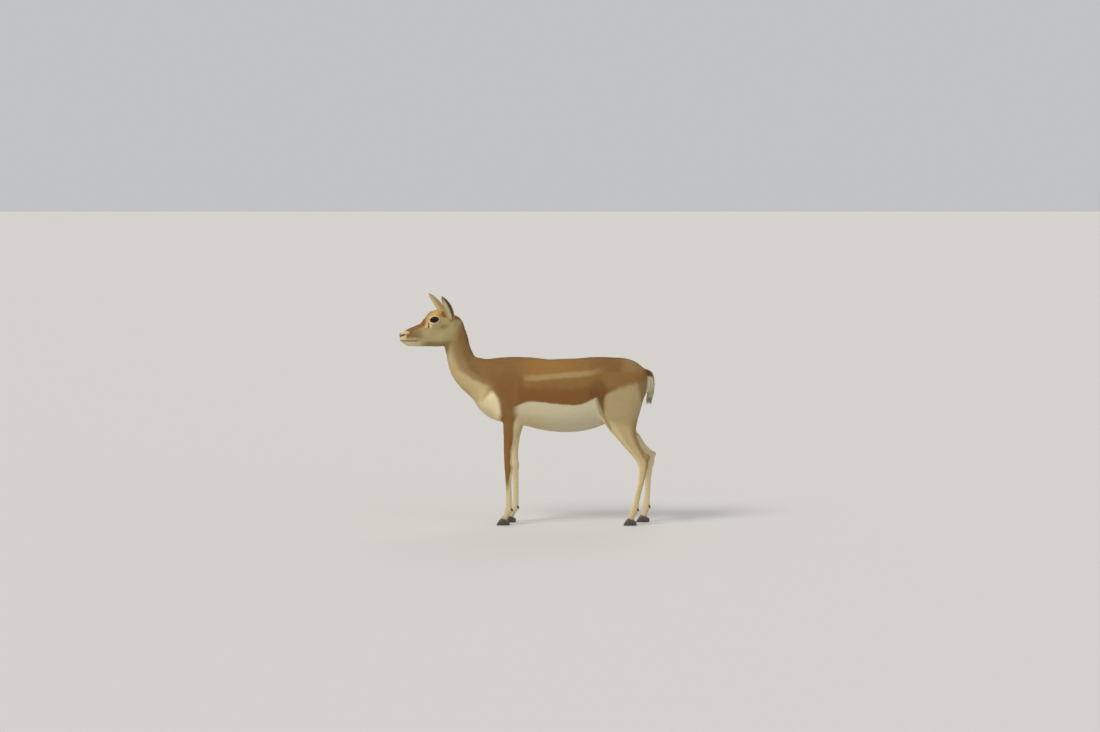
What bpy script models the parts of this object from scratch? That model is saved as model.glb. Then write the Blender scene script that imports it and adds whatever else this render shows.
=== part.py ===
# A female blackbuck standing still, life-size, from a photo in profile.
import math

import bmesh
import bpy
import numpy as np
import openvdb
from mathutils import Matrix, Vector

# The animal's own frame: the nose points along -X, its left side along -Y, Z is up, the floor is z = 0.
# Lengths are in metres.
STEPS_BETWEEN = 4
COARSE = 4
FAR_AWAY = 0.08
HEAD_TURN = math.radians(13.0)
POLL = np.array([-0.335, 0.0, 0.900])
LEFT, RIGHT = -1.0, 1.0

# The body; each station is (x, y, z, half depth, half width).
TRUNK = [
    (-0.128, 0, 0.603, 0.112, 0.066),
    (-0.090, 0, 0.613, 0.146, 0.083),
    (0.000, 0, 0.606, 0.156, 0.098),
    (0.090, 0, 0.590, 0.163, 0.111),
    (0.170, 0, 0.5865, 0.169, 0.117),
    (0.240, 0, 0.591, 0.1665, 0.114),
    (0.310, 0, 0.607, 0.155, 0.104),
    (0.380, 0, 0.625, 0.135, 0.095),
    (0.430, 0, 0.640, 0.115, 0.086),
    (0.475, 0, 0.655, 0.078, 0.068),
]
NECK = [
    (-0.332, 0, 0.890, 0.050, 0.036),
    (-0.322, 0, 0.840, 0.058, 0.036),
    (-0.310, 0, 0.785, 0.060, 0.037),
    (-0.281, 0, 0.712, 0.0717, 0.043),
    (-0.220, 0, 0.667, 0.092, 0.055),
    (-0.140, 0, 0.635, 0.115, 0.068),
]
SHOULDER = [
    (-0.040, 0.024, 0.700, 0.040, 0.018),
    (-0.090, 0.045, 0.645, 0.058, 0.030),
    (-0.140, 0.056, 0.585, 0.055, 0.036),
    (-0.150, 0.057, 0.560, 0.045, 0.034),
]
UPPER_ARM = [
    (-0.150, 0.058, 0.565, 0.042, 0.034),
    (-0.105, 0.064, 0.530, 0.052, 0.034),
    (-0.070, 0.066, 0.500, 0.044, 0.030),
]
BREAST = [
    (-0.170, 0, 0.560, 0.045, 0.040),
    (-0.115, 0, 0.525, 0.048, 0.050),
    (-0.040, 0, 0.500, 0.045, 0.060),
]
LOIN = [
    (0.300, 0.035, 0.705, 0.030, 0.028),
    (0.390, 0.045, 0.694, 0.042, 0.030),
    (0.470, 0.040, 0.661, 0.053, 0.034),
    (0.505, 0.036, 0.637, 0.046, 0.030),
]
FLANK_FOLD = [
    (0.315, 0.094, 0.538, 0.016, 0.012),
    (0.350, 0.092, 0.497, 0.022, 0.013),
    (0.392, 0.084, 0.456, 0.024, 0.014),
]
BUTTOCK = [
    (0.490, 0.034, 0.645, 0.050, 0.034),
    (0.476, 0.040, 0.585, 0.048, 0.036),
    (0.458, 0.046, 0.525, 0.045, 0.034),
]
# Legs are (x, z, half depth, half width, distance from the middle).
FORELEG_LEFT = [
    (-0.060, 0.500, 0.050, 0.030, 0.066),
    (-0.070, 0.450, 0.040, 0.029, 0.065),
    (-0.078, 0.400, 0.030, 0.0245, 0.061),
    (-0.085, 0.340, 0.0215, 0.0195, 0.058),
    (-0.086, 0.290, 0.0185, 0.0180, 0.056),
    (-0.083, 0.262, 0.0205, 0.0195, 0.055),
    (-0.084, 0.235, 0.0165, 0.0160, 0.054),
    (-0.084, 0.190, 0.0145, 0.0120, 0.053),
    (-0.082, 0.140, 0.0138, 0.0115, 0.053),
    (-0.082, 0.095, 0.0142, 0.0120, 0.052),
    (-0.084, 0.068, 0.0172, 0.0145, 0.052),
    (-0.094, 0.045, 0.0135, 0.0130, 0.052),
    (-0.105, 0.026, 0.0150, 0.0165, 0.052),
]
FORELEG_RIGHT = [
    (-0.050, 0.500, 0.050, 0.030, 0.066),
    (-0.055, 0.450, 0.040, 0.029, 0.065),
    (-0.059, 0.400, 0.030, 0.0245, 0.061),
    (-0.060, 0.340, 0.0215, 0.0195, 0.058),
    (-0.058, 0.290, 0.0185, 0.0180, 0.056),
    (-0.056, 0.262, 0.0205, 0.0195, 0.055),
    (-0.055, 0.235, 0.0165, 0.0160, 0.054),
    (-0.053, 0.190, 0.0145, 0.0120, 0.053),
    (-0.052, 0.140, 0.0138, 0.0115, 0.053),
    (-0.053, 0.095, 0.0142, 0.0120, 0.052),
    (-0.057, 0.068, 0.0172, 0.0145, 0.052),
    (-0.067, 0.045, 0.0135, 0.0130, 0.052),
    (-0.078, 0.026, 0.0150, 0.0165, 0.052),
]
HINDLEG_LEFT = [
    (0.440, 0.645, 0.098, 0.040, 0.052),
    (0.430, 0.560, 0.092, 0.044, 0.066),
    (0.428, 0.490, 0.075, 0.040, 0.076),
    (0.443, 0.430, 0.052, 0.032, 0.076),
    (0.473, 0.370, 0.035, 0.0235, 0.070),
    (0.503, 0.322, 0.0255, 0.0185, 0.065),
    (0.524, 0.286, 0.0255, 0.0190, 0.062),
    (0.524, 0.250, 0.0185, 0.0165, 0.062),
    (0.517, 0.200, 0.0145, 0.0130, 0.062),
    (0.505, 0.150, 0.0135, 0.0122, 0.062),
    (0.495, 0.105, 0.0138, 0.0125, 0.062),
    (0.487, 0.070, 0.0178, 0.0155, 0.062),
    (0.478, 0.046, 0.0138, 0.0135, 0.062),
    (0.470, 0.026, 0.0150, 0.0170, 0.062),
]
HINDLEG_RIGHT = [
    (0.440, 0.645, 0.098, 0.040, 0.052),
    (0.430, 0.560, 0.092, 0.044, 0.066),
    (0.431, 0.490, 0.075, 0.040, 0.076),
    (0.446, 0.430, 0.052, 0.032, 0.076),
    (0.483, 0.370, 0.035, 0.0235, 0.070),
    (0.528, 0.322, 0.0265, 0.0185, 0.065),
    (0.555, 0.286, 0.0255, 0.0190, 0.062),
    (0.555, 0.250, 0.0185, 0.0165, 0.062),
    (0.552, 0.200, 0.0145, 0.0130, 0.062),
    (0.550, 0.150, 0.0135, 0.0122, 0.062),
    (0.547, 0.105, 0.0138, 0.0125, 0.062),
    (0.543, 0.070, 0.0178, 0.0155, 0.062),
    (0.538, 0.046, 0.0138, 0.0135, 0.062),
    (0.532, 0.026, 0.0150, 0.0170, 0.062),
]
HEEL_BONE = [(0.000, 0.000, 0.0140), (0.017, 0.018, 0.0125), (0.021, 0.026, 0.0105)]
HEEL_CORD = [(0.019, 0.025, 0.0100), (-0.022, 0.062, 0.0120), (-0.052, 0.105, 0.0150)]

# The head in its own frame, before it is turned about the poll.
SKULL = [
    (-0.559, 0, 0.846, 0.020, 0.018),
    (-0.535, 0, 0.856, 0.031, 0.022),
    (-0.500, 0, 0.867, 0.039, 0.025),
    (-0.460, 0, 0.882, 0.042, 0.034),
    (-0.422, 0, 0.906, 0.054, 0.046),
    (-0.385, 0, 0.912, 0.056, 0.043),
    (-0.345, 0, 0.905, 0.050, 0.036),
]
NOSE = [
    (-0.566, 0, 0.8645, 0.0130, 0.0135),
    (-0.547, 0, 0.8710, 0.0165, 0.0160),
    (-0.523, 0, 0.8780, 0.0180, 0.0180),
]
CROWN = [
    (-0.426, 0, 0.942, 0.030, 0.033),
    (-0.395, 0, 0.947, 0.032, 0.035),
    (-0.362, 0, 0.937, 0.030, 0.033),
]
JAW = [
    (-0.541, 0, 0.825, 0.011, 0.012),
    (-0.500, 0, 0.827, 0.016, 0.016),
    (-0.450, 0, 0.834, 0.024, 0.024),
    (-0.400, 0, 0.845, 0.037, 0.034),
    (-0.360, 0, 0.862, 0.045, 0.036),
]
CHEEK = [(-0.440, 0.024, 0.862, 0.030, 0.014), (-0.400, 0.027, 0.855, 0.040, 0.016)]
TEMPLE = [(-0.408, 0.026, 0.934, 0.024, 0.018), (-0.372, 0.024, 0.928, 0.026, 0.018)]
EYE = (-0.4275, 0.0365, 0.9315)
EYE_RADIUS = 0.0185
EYE_LOOK = (-0.25, 0.95, 0.10)
LID = 0.0024
LID_HALF_WIDTH, LID_HALF_HEIGHT = 0.0172, 0.0108
BROW = [(-0.434, 0.032, 0.951, 0.007, 0.008), (-0.410, 0.034, 0.953, 0.008, 0.009)]
MOUTH = [
    (-0.590, 0, 0.8405, 0.0012, 0.030),
    (-0.562, 0, 0.8385, 0.0012, 0.030),
    (-0.537, 0, 0.8370, 0.0012, 0.030),
    (-0.508, 0, 0.8375, 0.0010, 0.030),
]
NOSTRIL = [
    (-0.5750, 0.0090, 0.8615, 0.0026, 0.0026),
    (-0.5690, 0.0125, 0.8640, 0.0030, 0.0030),
    (-0.5610, 0.0155, 0.8665, 0.0020, 0.0020),
]
TEAR_SLIT = [
    (-0.4535, 0.0385, 0.9150, 0.0018, 0.0018),
    (-0.4550, 0.0395, 0.9065, 0.0024, 0.0024),
    (-0.4545, 0.0398, 0.8990, 0.0018, 0.0018),
]
# Ears in the body's frame: base, tip and the way the cup faces.
EARS = {
    LEFT: ((-0.337, -0.033, 0.920), (-0.382, -0.087, 1.040), (-0.50, -0.80, 0.10)),
    RIGHT: ((-0.368, 0.026, 0.930), (-0.447, 0.058, 1.046), (-0.80, 0.60, 0.10)),
}
# (share of the ear's length, half depth, half width)
EAR_SECTIONS = [
    (-0.08, 0.0120, 0.0120),
    (0.08, 0.0130, 0.0145),
    (0.25, 0.0135, 0.0200),
    (0.45, 0.0115, 0.0215),
    (0.65, 0.0090, 0.0205),
    (0.85, 0.0058, 0.0135),
    (0.98, 0.0028, 0.0050),
]
EAR_WALL = 0.0030
TAIL = [
    (0.522, 0, 0.692, 0.0190, 0.0200),
    (0.548, 0, 0.683, 0.0170, 0.0190),
    (0.560, 0, 0.655, 0.0120, 0.0170),
    (0.561, 0, 0.620, 0.0100, 0.0150),
    (0.556, 0, 0.585, 0.0060, 0.0100),
]
# The locks at the tail's end stand in a ring: its middle (x, z), its half sizes along x and y, how far
# they lean forward, and the half depth and half width at a lock's start, middle and end.
TAIL_LOCKS = 10
TAIL_LOCK_LENGTH = 0.050
LOCK_RING = (0.559, 0.610)
LOCK_SPREAD = (0.004, 0.009)
LOCK_STAGGER = 0.006
LOCK_LEAN = 0.006
LOCK_SIZES = ((0.006, 0.006), (0.0045, 0.005), (0.0018, 0.0018))
# A claw of a hoof: (forward shift, height, half depth, half width)
CLAW = [
    (0.0150, 0.0100, 0.0120, 0.0078),
    (0.0020, 0.0180, 0.0170, 0.0088),
    (-0.0100, 0.0130, 0.0140, 0.0082),
    (-0.0200, 0.0065, 0.0090, 0.0064),
    (-0.0280, 0.0035, 0.0045, 0.0042),
]
CLAW_SPREAD = 0.0093
DEWCLAW = [
    (0.0120, 0.006, 0.0046, 0.0042),
    (0.0170, 0.000, 0.0036, 0.0034),
    (0.0185, -0.004, 0.0022, 0.0022),
]
DEWCLAW_SPREAD = 0.0080

# Clear space between neighbouring bodies, and the planes that part them, each a point and a normal.
GAP = 0.0003
HEAD_PLANE = ((-0.328, 0, 0.868), (0.894, 0, -0.447))
NECK_PLANE = ((-0.225, 0, 0.655), (0.933, 0, -0.361))
FORELEG_PLANE = ((-0.080, 0, 0.440), (0, 0, 1))
HINDLEG_PLANE = ((0.430, 0, 0.470), (-0.406, 0, 0.914))
CORONET = 0.027
CORONET_SLOPE = (0.41, 0, 0.912)
KNEE, HOCK, FETLOCK = 5, 6, -3

# The boxes that each body grows in, and the steps of their grids.
TORSO_BOX, TORSO_STEP = ((-0.36, -0.15, 0.36), (0.62, 0.15, 0.80)), 0.005
NECK_BOX, NECK_STEP = ((-0.45, -0.11, 0.50), (-0.12, 0.11, 0.98)), 0.004
HEAD_BOX, HEAD_STEP = ((-0.60, -0.10, 0.76), (-0.26, 0.08, 1.0)), 0.0020
LEG_BEFORE, LEG_BEHIND, LEG_SIDE, LEG_HEIGHT, LEG_STEP = 0.09, 0.06, (0.002, 0.140), 0.56, 0.003
CLAW_STEP, CLAW_BELOW, CLEFT = 0.0016, -0.006, 0.0004
DEWCLAW_STEP = 0.0012
EAR_STEP, EAR_SEAT_STEP = 0.0009, 0.0016
TAIL_STEP = 0.0018
GROOVE_STEP = 0.0008

# Triangles of each body.
TORSO_TRIANGLES, NECK_TRIANGLES, HEAD_TRIANGLES = 2800, 1400, 2400
LEG_TRIANGLES, CLAW_TRIANGLES, DEWCLAW_TRIANGLES = 900, 90, 36
EAR_TRIANGLES, TAIL_TRIANGLES = 440, 400
EAR_SEAT_TRIANGLES, TAIL_SEAT_TRIANGLES, GROOVE_TRIANGLES = 260, 500, 120
EYE_SEGMENTS, EYE_RINGS = 18, 10
LID_SEGMENTS, LID_DEPTH, LID_FORWARD, LID_TILT = 64, 0.030, 0.004, math.radians(12.0)


def smooth_path(stations):
    """Catmull-Rom through the stations; each is (x, y, z, half depth, half width)."""
    knots = np.array(stations, float)
    padded = np.vstack([2 * knots[0] - knots[1], knots, 2 * knots[-1] - knots[-2]])
    path = []
    for i in range(len(knots) - 1):
        before, start, end, after = padded[i : i + 4]
        for t in np.arange(STEPS_BETWEEN) / STEPS_BETWEEN:
            path.append(
                0.5
                * (
                    2 * start
                    + (end - before) * t
                    + (2 * before - 5 * start + 4 * end - after) * t**2
                    + (3 * start - before - 3 * end + after) * t**3
                )
            )
    path.append(knots[-1])
    path = np.array(path)
    path[:, 3:] = np.maximum(path[:, 3:], knots[:, 3:].min(axis=0))
    return path


def mass(stations, blend, across=(0, 1, 0), power=2.0, taper=0.0, carve=False, space="body", paired=False):
    """One mass of flesh or bone: elliptical sections swept along a smooth path. taper narrows the
    sections on the side that is dorsal on the trunk and rear on a leg; carve takes the mass away."""
    return {
        "path": smooth_path(stations),
        "blend": blend,
        "across": np.array(across, float),
        "power": power,
        "taper": taper,
        "carve": carve,
        "space": space,
        "paired": paired,
    }


def to_head(points):
    """Points of the body's frame in the head's own frame, where the head isn't turned."""
    cos, sin = math.cos(-HEAD_TURN), math.sin(-HEAD_TURN)
    x, y = points[:, 0] - POLL[0], points[:, 1] - POLL[1]
    return np.column_stack([x * cos - y * sin + POLL[0], x * sin + y * cos + POLL[1], points[:, 2]])


def from_head(points):
    """Points of the head's own frame in the body's frame."""
    cos, sin = math.cos(HEAD_TURN), math.sin(HEAD_TURN)
    points = np.atleast_2d(np.array(points, float))
    x, y = points[:, 0] - POLL[0], points[:, 1] - POLL[1]
    return np.column_stack([x * cos - y * sin + POLL[0], x * sin + y * cos + POLL[1], points[:, 2]])


def mass_distance(points, one):
    """About how far each point is outside the mass, in metres, negative inside it."""
    best = np.full(len(points), FAR_AWAY)
    path = one["path"]
    for a, b in zip(path[:-1], path[1:]):
        length = np.linalg.norm(b[:3] - a[:3])
        along = (b[:3] - a[:3]) / length
        across = one["across"] - (one["across"] @ along) * along
        across /= np.linalg.norm(across)
        deep = np.cross(along, across)
        offset = points - a[:3]
        run = offset @ along
        t = np.clip(run / length, 0.0, 1.0)
        depth = a[3] + (b[3] - a[3]) * t
        width = a[4] + (b[4] - a[4]) * t
        u, v, w = offset @ across, offset @ deep, run - t * length
        if one["taper"]:
            width = width * (1.0 + one["taper"] * np.clip(v / depth, -1.0, 1.0))
        n = one["power"]
        ratio = ((np.abs(u) / width) ** n + (np.abs(v) / depth) ** n + (np.abs(w) / depth) ** n) ** (1 / n)
        reach = np.sqrt(u * u + v * v + w * w)
        ratio, reach = np.maximum(ratio, 1e-6), np.maximum(reach, 1e-9)
        best = np.minimum(best, reach - reach / ratio)
    return best


def smooth_min(a, b, k):
    h = np.clip(0.5 + 0.5 * (b - a) / k, 0.0, 1.0)
    return b + (a - b) * h - k * h * (1.0 - h)


def reach_of(one):
    """The mass's box in its own frame, grown by what it can change."""
    path = one["path"]
    grow = path[:, 3:].max(axis=1, keepdims=True) + one["blend"] + 0.004
    return (path[:, :3] - grow).min(axis=0), (path[:, :3] + grow).max(axis=0)


def field(points, masses):
    """The smooth sum of the masses at the points: negative inside the animal."""
    values = np.full(len(points), FAR_AWAY)
    turned = to_head(points)
    for one in masses:
        own = turned if one["space"] == "head" else points
        if one["paired"]:
            own = np.column_stack([own[:, 0], np.abs(own[:, 1]), own[:, 2]])
        low, high = reach_of(one)
        near = np.all((own > low) & (own < high), axis=1)
        if not near.any():
            continue
        distance = mass_distance(own[near], one)
        if one["carve"]:
            values[near] = -smooth_min(-values[near], distance, one["blend"])
        else:
            values[near] = smooth_min(values[near], distance, one["blend"])
    return values


def surface(masses, low, high, step):
    """The zero surface of the field inside a box, closed at the box, as points and faces. The field is
    first read on a coarse grid, and then finely only near the surface."""
    coarse_step = COARSE * step
    sizes = [int(math.ceil((b - a) / coarse_step)) * COARSE + 1 for a, b in zip(low, high)]
    axes = [a + step * np.arange(size) for a, size in zip(low, sizes)]
    coarse_axes = [axis[::COARSE] for axis in axes]
    coarse = field(np.stack(np.meshgrid(*coarse_axes, indexing="ij"), axis=-1).reshape(-1, 3), masses)
    coarse = coarse.reshape([len(axis) for axis in coarse_axes])
    nearest = [np.minimum((np.arange(size) + COARSE // 2) // COARSE, size // COARSE) for size in sizes]
    values = coarse[np.ix_(*nearest)].astype(np.float32)
    rows = np.nonzero(np.abs(values) < 1.6 * coarse_step)
    values[rows] = field(np.column_stack([axis[row] for axis, row in zip(axes, rows)]), masses)
    for axis in range(3):
        ends = np.moveaxis(values, axis, 0)
        ends[0] = ends[-1] = FAR_AWAY
    volume = openvdb.FloatGrid(FAR_AWAY)
    volume.copyFromArray(values)
    points, quads = volume.convertToQuads(0.0)
    return points.astype(float) * step + np.array(low, float), quads[:, ::-1]


def settle(points, masses, rounds=1):
    """Moves points onto the zero surface along the field's slope."""
    tiny = 2e-4
    for _ in range(rounds):
        here = field(points, masses)
        slope = np.column_stack(
            [
                field(points + tiny * axis, masses) - field(points - tiny * axis, masses)
                for axis in np.eye(3)
            ]
        ) / (2 * tiny)
        steep = np.maximum((slope**2).sum(axis=1), 0.25)
        shift = -(here / steep)[:, None] * slope
        far = np.linalg.norm(shift, axis=1, keepdims=True)
        points = points + shift * np.minimum(1.0, 0.002 / np.maximum(far, 1e-9))
    return points


def leg(stations, side, blend=0.012):
    """A leg's stations with its distance from the middle as y on its own side."""
    return mass([(x, side * y, z, d, w) for x, z, d, w, y in stations], blend)


def heel(stations, side):
    """The heel bone behind the hock, and the cord that runs up from it."""
    x, z, _, _, y = stations[6]
    return [
        mass([(x + dx, side * y, z + dz, r, r) for dx, dz, r in HEEL_BONE], 0.010),
        mass([(x + dx, side * (y + 0.002), z + dz, r, r * 0.8) for dx, dz, r in HEEL_CORD], 0.012),
    ]


def body_masses():
    masses = [
        mass(TRUNK, 0.030, taper=-0.27, power=2.2),
        mass(NECK, 0.030, taper=-0.12),
        mass(SHOULDER, 0.030, paired=True),
        mass(UPPER_ARM, 0.025, paired=True),
        mass(BREAST, 0.030),
        mass(LOIN, 0.030, paired=True),
        mass(BUTTOCK, 0.025, paired=True),
        mass(FLANK_FOLD, 0.016, paired=True),
        leg(FORELEG_LEFT, LEFT),
        leg(FORELEG_RIGHT, RIGHT),
        leg(HINDLEG_LEFT, LEFT, 0.020),
        leg(HINDLEG_RIGHT, RIGHT, 0.020),
    ]
    return masses + heel(HINDLEG_LEFT, LEFT) + heel(HINDLEG_RIGHT, RIGHT)


def head_masses():
    x, y, z = EYE
    lid = EYE_RADIUS + LID
    ball = [(x - 0.0005, y, z, lid, lid), (x + 0.0005, y, z, lid, lid)]
    return [
        mass(SKULL, 0.020, space="head"),
        mass(NOSE, 0.008, space="head"),
        mass(CROWN, 0.014, space="head"),
        mass(JAW, 0.012, space="head"),
        mass(CHEEK, 0.015, space="head", paired=True),
        mass(BROW, 0.014, space="head", paired=True),
        mass(TEMPLE, 0.014, space="head", paired=True),
        mass(ball, 0.011, space="head", paired=True),
    ]


def unit(vector):
    vector = np.array(vector, float)
    return vector / np.linalg.norm(vector)


def ear_masses(side):
    """The ear's outer form, its cup, and the outer form of its root alone."""
    base, tip, face = (np.array(v, float) for v in EARS[side])
    axis = tip - base
    along = unit(axis)
    across = unit(np.cross(face, along))
    face = np.cross(along, across)
    bow = lambda t: 0.010 * math.sin(math.pi * min(max(t, 0.0), 1.0))
    outer, cup = [], []
    for t, depth, width in EAR_SECTIONS:
        centre = base + axis * t - face * bow(t)
        outer.append((*centre, depth, width))
        if 0.0 < t < 0.9:
            shrink = 0.62 if t < 0.2 else 1.0
            shift = face * (EAR_WALL / 2 + 0.003)
            cup.append((*(centre + shift), (depth + 0.0016) * shrink, (width - 0.0024) * shrink))
    root = mass(outer[:5], 0.002, across=across)
    return mass(outer, 0.002, across=across), mass(cup, 0.0015, across=across, carve=True), root


def material(name, colour, roughness):
    made = bpy.data.materials.new(name)
    made.use_nodes = True
    shader = made.node_tree.nodes["Principled BSDF"]
    shader.inputs["Base Color"].default_value = (*colour, 1.0)
    shader.inputs["Roughness"].default_value = roughness
    return made


def add_object(name, points, faces, paint=None, collection=None):
    shape = bpy.data.meshes.new(name)
    shape.from_pydata([tuple(p) for p in points], [], [tuple(int(i) for i in f) for f in faces])
    shape.validate()
    shape.update()
    made = bpy.data.objects.new(name, shape)
    (collection or ANIMAL).objects.link(made)
    if paint:
        shape.materials.append(paint)
    return made


def bake(obj):
    """Writes the object's modifiers into its mesh."""
    graph = bpy.context.evaluated_depsgraph_get()
    graph.update()
    shape = bpy.data.meshes.new_from_object(obj.evaluated_get(graph))
    obj.modifiers.clear()
    obj.data = shape


def reduce(obj, triangles):
    count = sum(len(face.vertices) - 2 for face in obj.data.polygons)
    step = obj.modifiers.new("fewer faces", "DECIMATE")
    step.ratio = min(1.0, triangles / count)
    bake(obj)


def grown(name, masses, low, high, step, triangles, paint=None, collection=None):
    """An object from the surface of the masses inside a box, brought down to a number of triangles."""
    points, quads = surface(masses, low, high, step)
    obj = add_object(name, points, quads, paint, collection)
    turn_outward(obj)
    reduce(obj, triangles)
    count = len(obj.data.vertices)
    points = np.empty(count * 3)
    obj.data.vertices.foreach_get("co", points)
    obj.data.vertices.foreach_set("co", settle(points.reshape(-1, 3), masses).ravel())
    obj.data.update()
    return obj


def turn_outward(obj):
    edit = bmesh.new()
    edit.from_mesh(obj.data)
    bmesh.ops.recalc_face_normals(edit, faces=edit.faces)
    if edit.calc_volume(signed=True) < 0:
        bmesh.ops.reverse_faces(edit, faces=edit.faces)
    edit.to_mesh(obj.data)
    edit.free()


def slice_away(obj, plane, keep_above, region=None):
    """Cuts the object at a plane and closes it with a flat face, half a gap clear of the plane."""
    normal = Vector(unit(plane[1])) * (1 if keep_above else -1)
    point = Vector(plane[0]) + normal * GAP / 2
    edit = bmesh.new()
    edit.from_mesh(obj.data)
    inside = [v for v in edit.verts if region is None or region(v.co)]
    chosen = set(inside)
    faces = [f for f in edit.faces if any(v in chosen for v in f.verts)]
    edges = {e for f in faces for e in f.edges}
    verts = {v for f in faces for v in f.verts}
    near = [*verts, *edges, *faces]
    bmesh.ops.bisect_plane(edit, geom=near, dist=1e-5, plane_co=point, plane_no=normal)
    behind = [v for v in edit.verts if (v.co - point).dot(normal) < -2e-5]
    gone = [v for v in behind if region is None or region(v.co)]
    bmesh.ops.delete(edit, geom=gone, context="VERTS")
    bmesh.ops.remove_doubles(edit, verts=[v for v in edit.verts if v.is_boundary], dist=1e-4)
    rim = [e for e in edit.edges if e.is_boundary]
    bmesh.ops.triangle_fill(edit, use_beauty=True, use_dissolve=False, edges=rim)
    bmesh.ops.recalc_face_normals(edit, faces=edit.faces)
    edit.to_mesh(obj.data)
    edit.free()


def combine(obj, other, how):
    step = obj.modifiers.new(how.lower(), "BOOLEAN")
    step.operation = how
    step.solver = "EXACT"
    step.object = other
    bake(obj)


def cutter(name, masses, low, high, step, triangles):
    made = grown(name, masses, low, high, step, triangles, collection=CUTTERS)
    made.hide_render = True
    made.display_type = "WIRE"
    return made


def shifted(obj, distance):
    """Moves each vertex along its own normal."""
    for vertex in obj.data.vertices:
        vertex.co += vertex.normal * distance


def side_name(side):
    return "left" if side == LEFT else "right"


def head_box(low, high):
    """A box in the body's frame round a box given in the head's own frame."""
    ends = list(zip(low, high))
    corners = from_head([(x, y, z) for x in ends[0] for y in ends[1] for z in ends[2]])
    return corners.min(axis=0), corners.max(axis=0)


def groove(name, stations, side):
    """A cutter along a line on the head, given for the right side."""
    path = [(x, side * y, z, d, w) for x, y, z, d, w in stations]
    one = mass(path, 0.0005, space="head")
    low, high = reach_of(one)
    return cutter(name, [one], *head_box(low, high), GROOVE_STEP, GROOVE_TRIANGLES)


def make_eyes(head):
    """Eyeballs, the sockets that hold them and the openings between the lids."""
    look = unit(EYE_LOOK)
    for side in (LEFT, RIGHT):
        name = side_name(side)
        centre = from_head((EYE[0], side * EYE[1], EYE[2]))[0]
        aim = from_head(np.array(EYE) * (1, side, 1) + look * (1, side, 1))[0] - centre
        turn = Vector(aim).to_track_quat("Z", "Y").to_matrix().to_4x4()
        for radius, kind in ((EYE_RADIUS, "eye_"), (EYE_RADIUS + GAP * 1.3, "socket_")):
            edit = bmesh.new()
            bmesh.ops.create_uvsphere(edit, u_segments=EYE_SEGMENTS, v_segments=EYE_RINGS, radius=radius)
            edit.transform(Matrix.Translation(centre) @ turn)
            shape = bpy.data.meshes.new(kind + name)
            edit.to_mesh(shape)
            edit.free()
            obj = bpy.data.objects.new(kind + name, shape)
            if kind == "eye_":
                ANIMAL.objects.link(obj)
                shape.materials.append(PAINTS["eye"])
            else:
                hide_in_cutters(obj)
                combine(head, obj, "DIFFERENCE")
        rise = LID_HALF_HEIGHT
        half = LID_HALF_WIDTH
        radius = (rise + half**2 / rise) / 2
        tilt = Matrix.Rotation(-LID_TILT * side, 4, "Z")
        discs = []
        for up in (1, -1):
            edit = bmesh.new()
            bmesh.ops.create_cone(
                edit, cap_ends=True, segments=LID_SEGMENTS, radius1=radius, radius2=radius, depth=LID_DEPTH
            )
            offset = Matrix.Translation((0.0, up * (radius - rise), EYE_RADIUS + LID_FORWARD))
            edit.transform(Matrix.Translation(centre) @ turn @ tilt @ offset)
            shape = bpy.data.meshes.new("lid_disc")
            edit.to_mesh(shape)
            edit.free()
            obj = bpy.data.objects.new("lid_disc", shape)
            hide_in_cutters(obj)
            discs.append(obj)
        combine(discs[0], discs[1], "INTERSECT")
        combine(head, discs[0], "DIFFERENCE")


def hide_in_cutters(obj):
    CUTTERS.objects.link(obj)
    obj.hide_render = True
    obj.display_type = "WIRE"


def make_ears(head):
    for side in (LEFT, RIGHT):
        name = side_name(side)
        outer, cup, root = ear_masses(side)
        low, high = reach_of(outer)
        grown(f"ear_{name}", [outer, cup], low, high, EAR_STEP, EAR_TRIANGLES, PAINTS["ear"])
        low, high = reach_of(root)
        seat = cutter(f"ear_seat_{name}", [root], low, high, EAR_SEAT_STEP, EAR_SEAT_TRIANGLES)
        shifted(seat, GAP * 3)
        combine(head, seat, "DIFFERENCE")


def make_head():
    masses = body_masses()[1:2] + head_masses()
    head = grown("head", masses, *HEAD_BOX, HEAD_STEP, HEAD_TRIANGLES, PAINTS["coat"])
    slice_away(head, HEAD_PLANE, keep_above=False)
    make_ears(head)
    make_eyes(head)
    for side in (LEFT, RIGHT):
        for label, stations in (("nostril", NOSTRIL), ("tear_slit", TEAR_SLIT)):
            combine(head, groove(f"{label}_{side_name(side)}", stations, side), "DIFFERENCE")
    combine(head, groove("mouth", MOUTH, RIGHT), "DIFFERENCE")


def make_legs(masses):
    for stations, end, top in (
        ((FORELEG_LEFT, FORELEG_RIGHT), "foreleg", FORELEG_PLANE),
        ((HINDLEG_LEFT, HINDLEG_RIGHT), "hindleg", HINDLEG_PLANE),
    ):
        for side, path in zip((LEFT, RIGHT), stations):
            name = side_name(side)
            xs = [s[0] for s in path]
            inner, outer = sorted(side * y for y in LEG_SIDE)
            low, high = (min(xs) - LEG_BEFORE, inner, 0.0), (max(xs) + LEG_BEHIND, outer, LEG_HEIGHT)
            whole = grown(f"whole_{end}_{name}", masses, low, high, LEG_STEP, LEG_TRIANGLES, PAINTS["coat"])
            slice_away(whole, top, keep_above=False)
            foot = path[-1]
            ground = ((foot[0], side * foot[4], CORONET), CORONET_SLOPE)
            slice_away(whole, ground, keep_above=True)
            keep_largest(whole)
            joint = path[KNEE if end == "foreleg" else HOCK]
            middle = ((joint[0], 0, joint[1]), (0, 0, 1))
            lower = whole.copy()
            lower.data = whole.data.copy()
            ANIMAL.objects.link(lower)
            whole.name, lower.name = f"upper_{end}_{name}", f"lower_{end}_{name}"
            slice_away(whole, middle, keep_above=True)
            slice_away(lower, middle, keep_above=False)
            make_foot(lower, path, side, end, ground)


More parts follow.
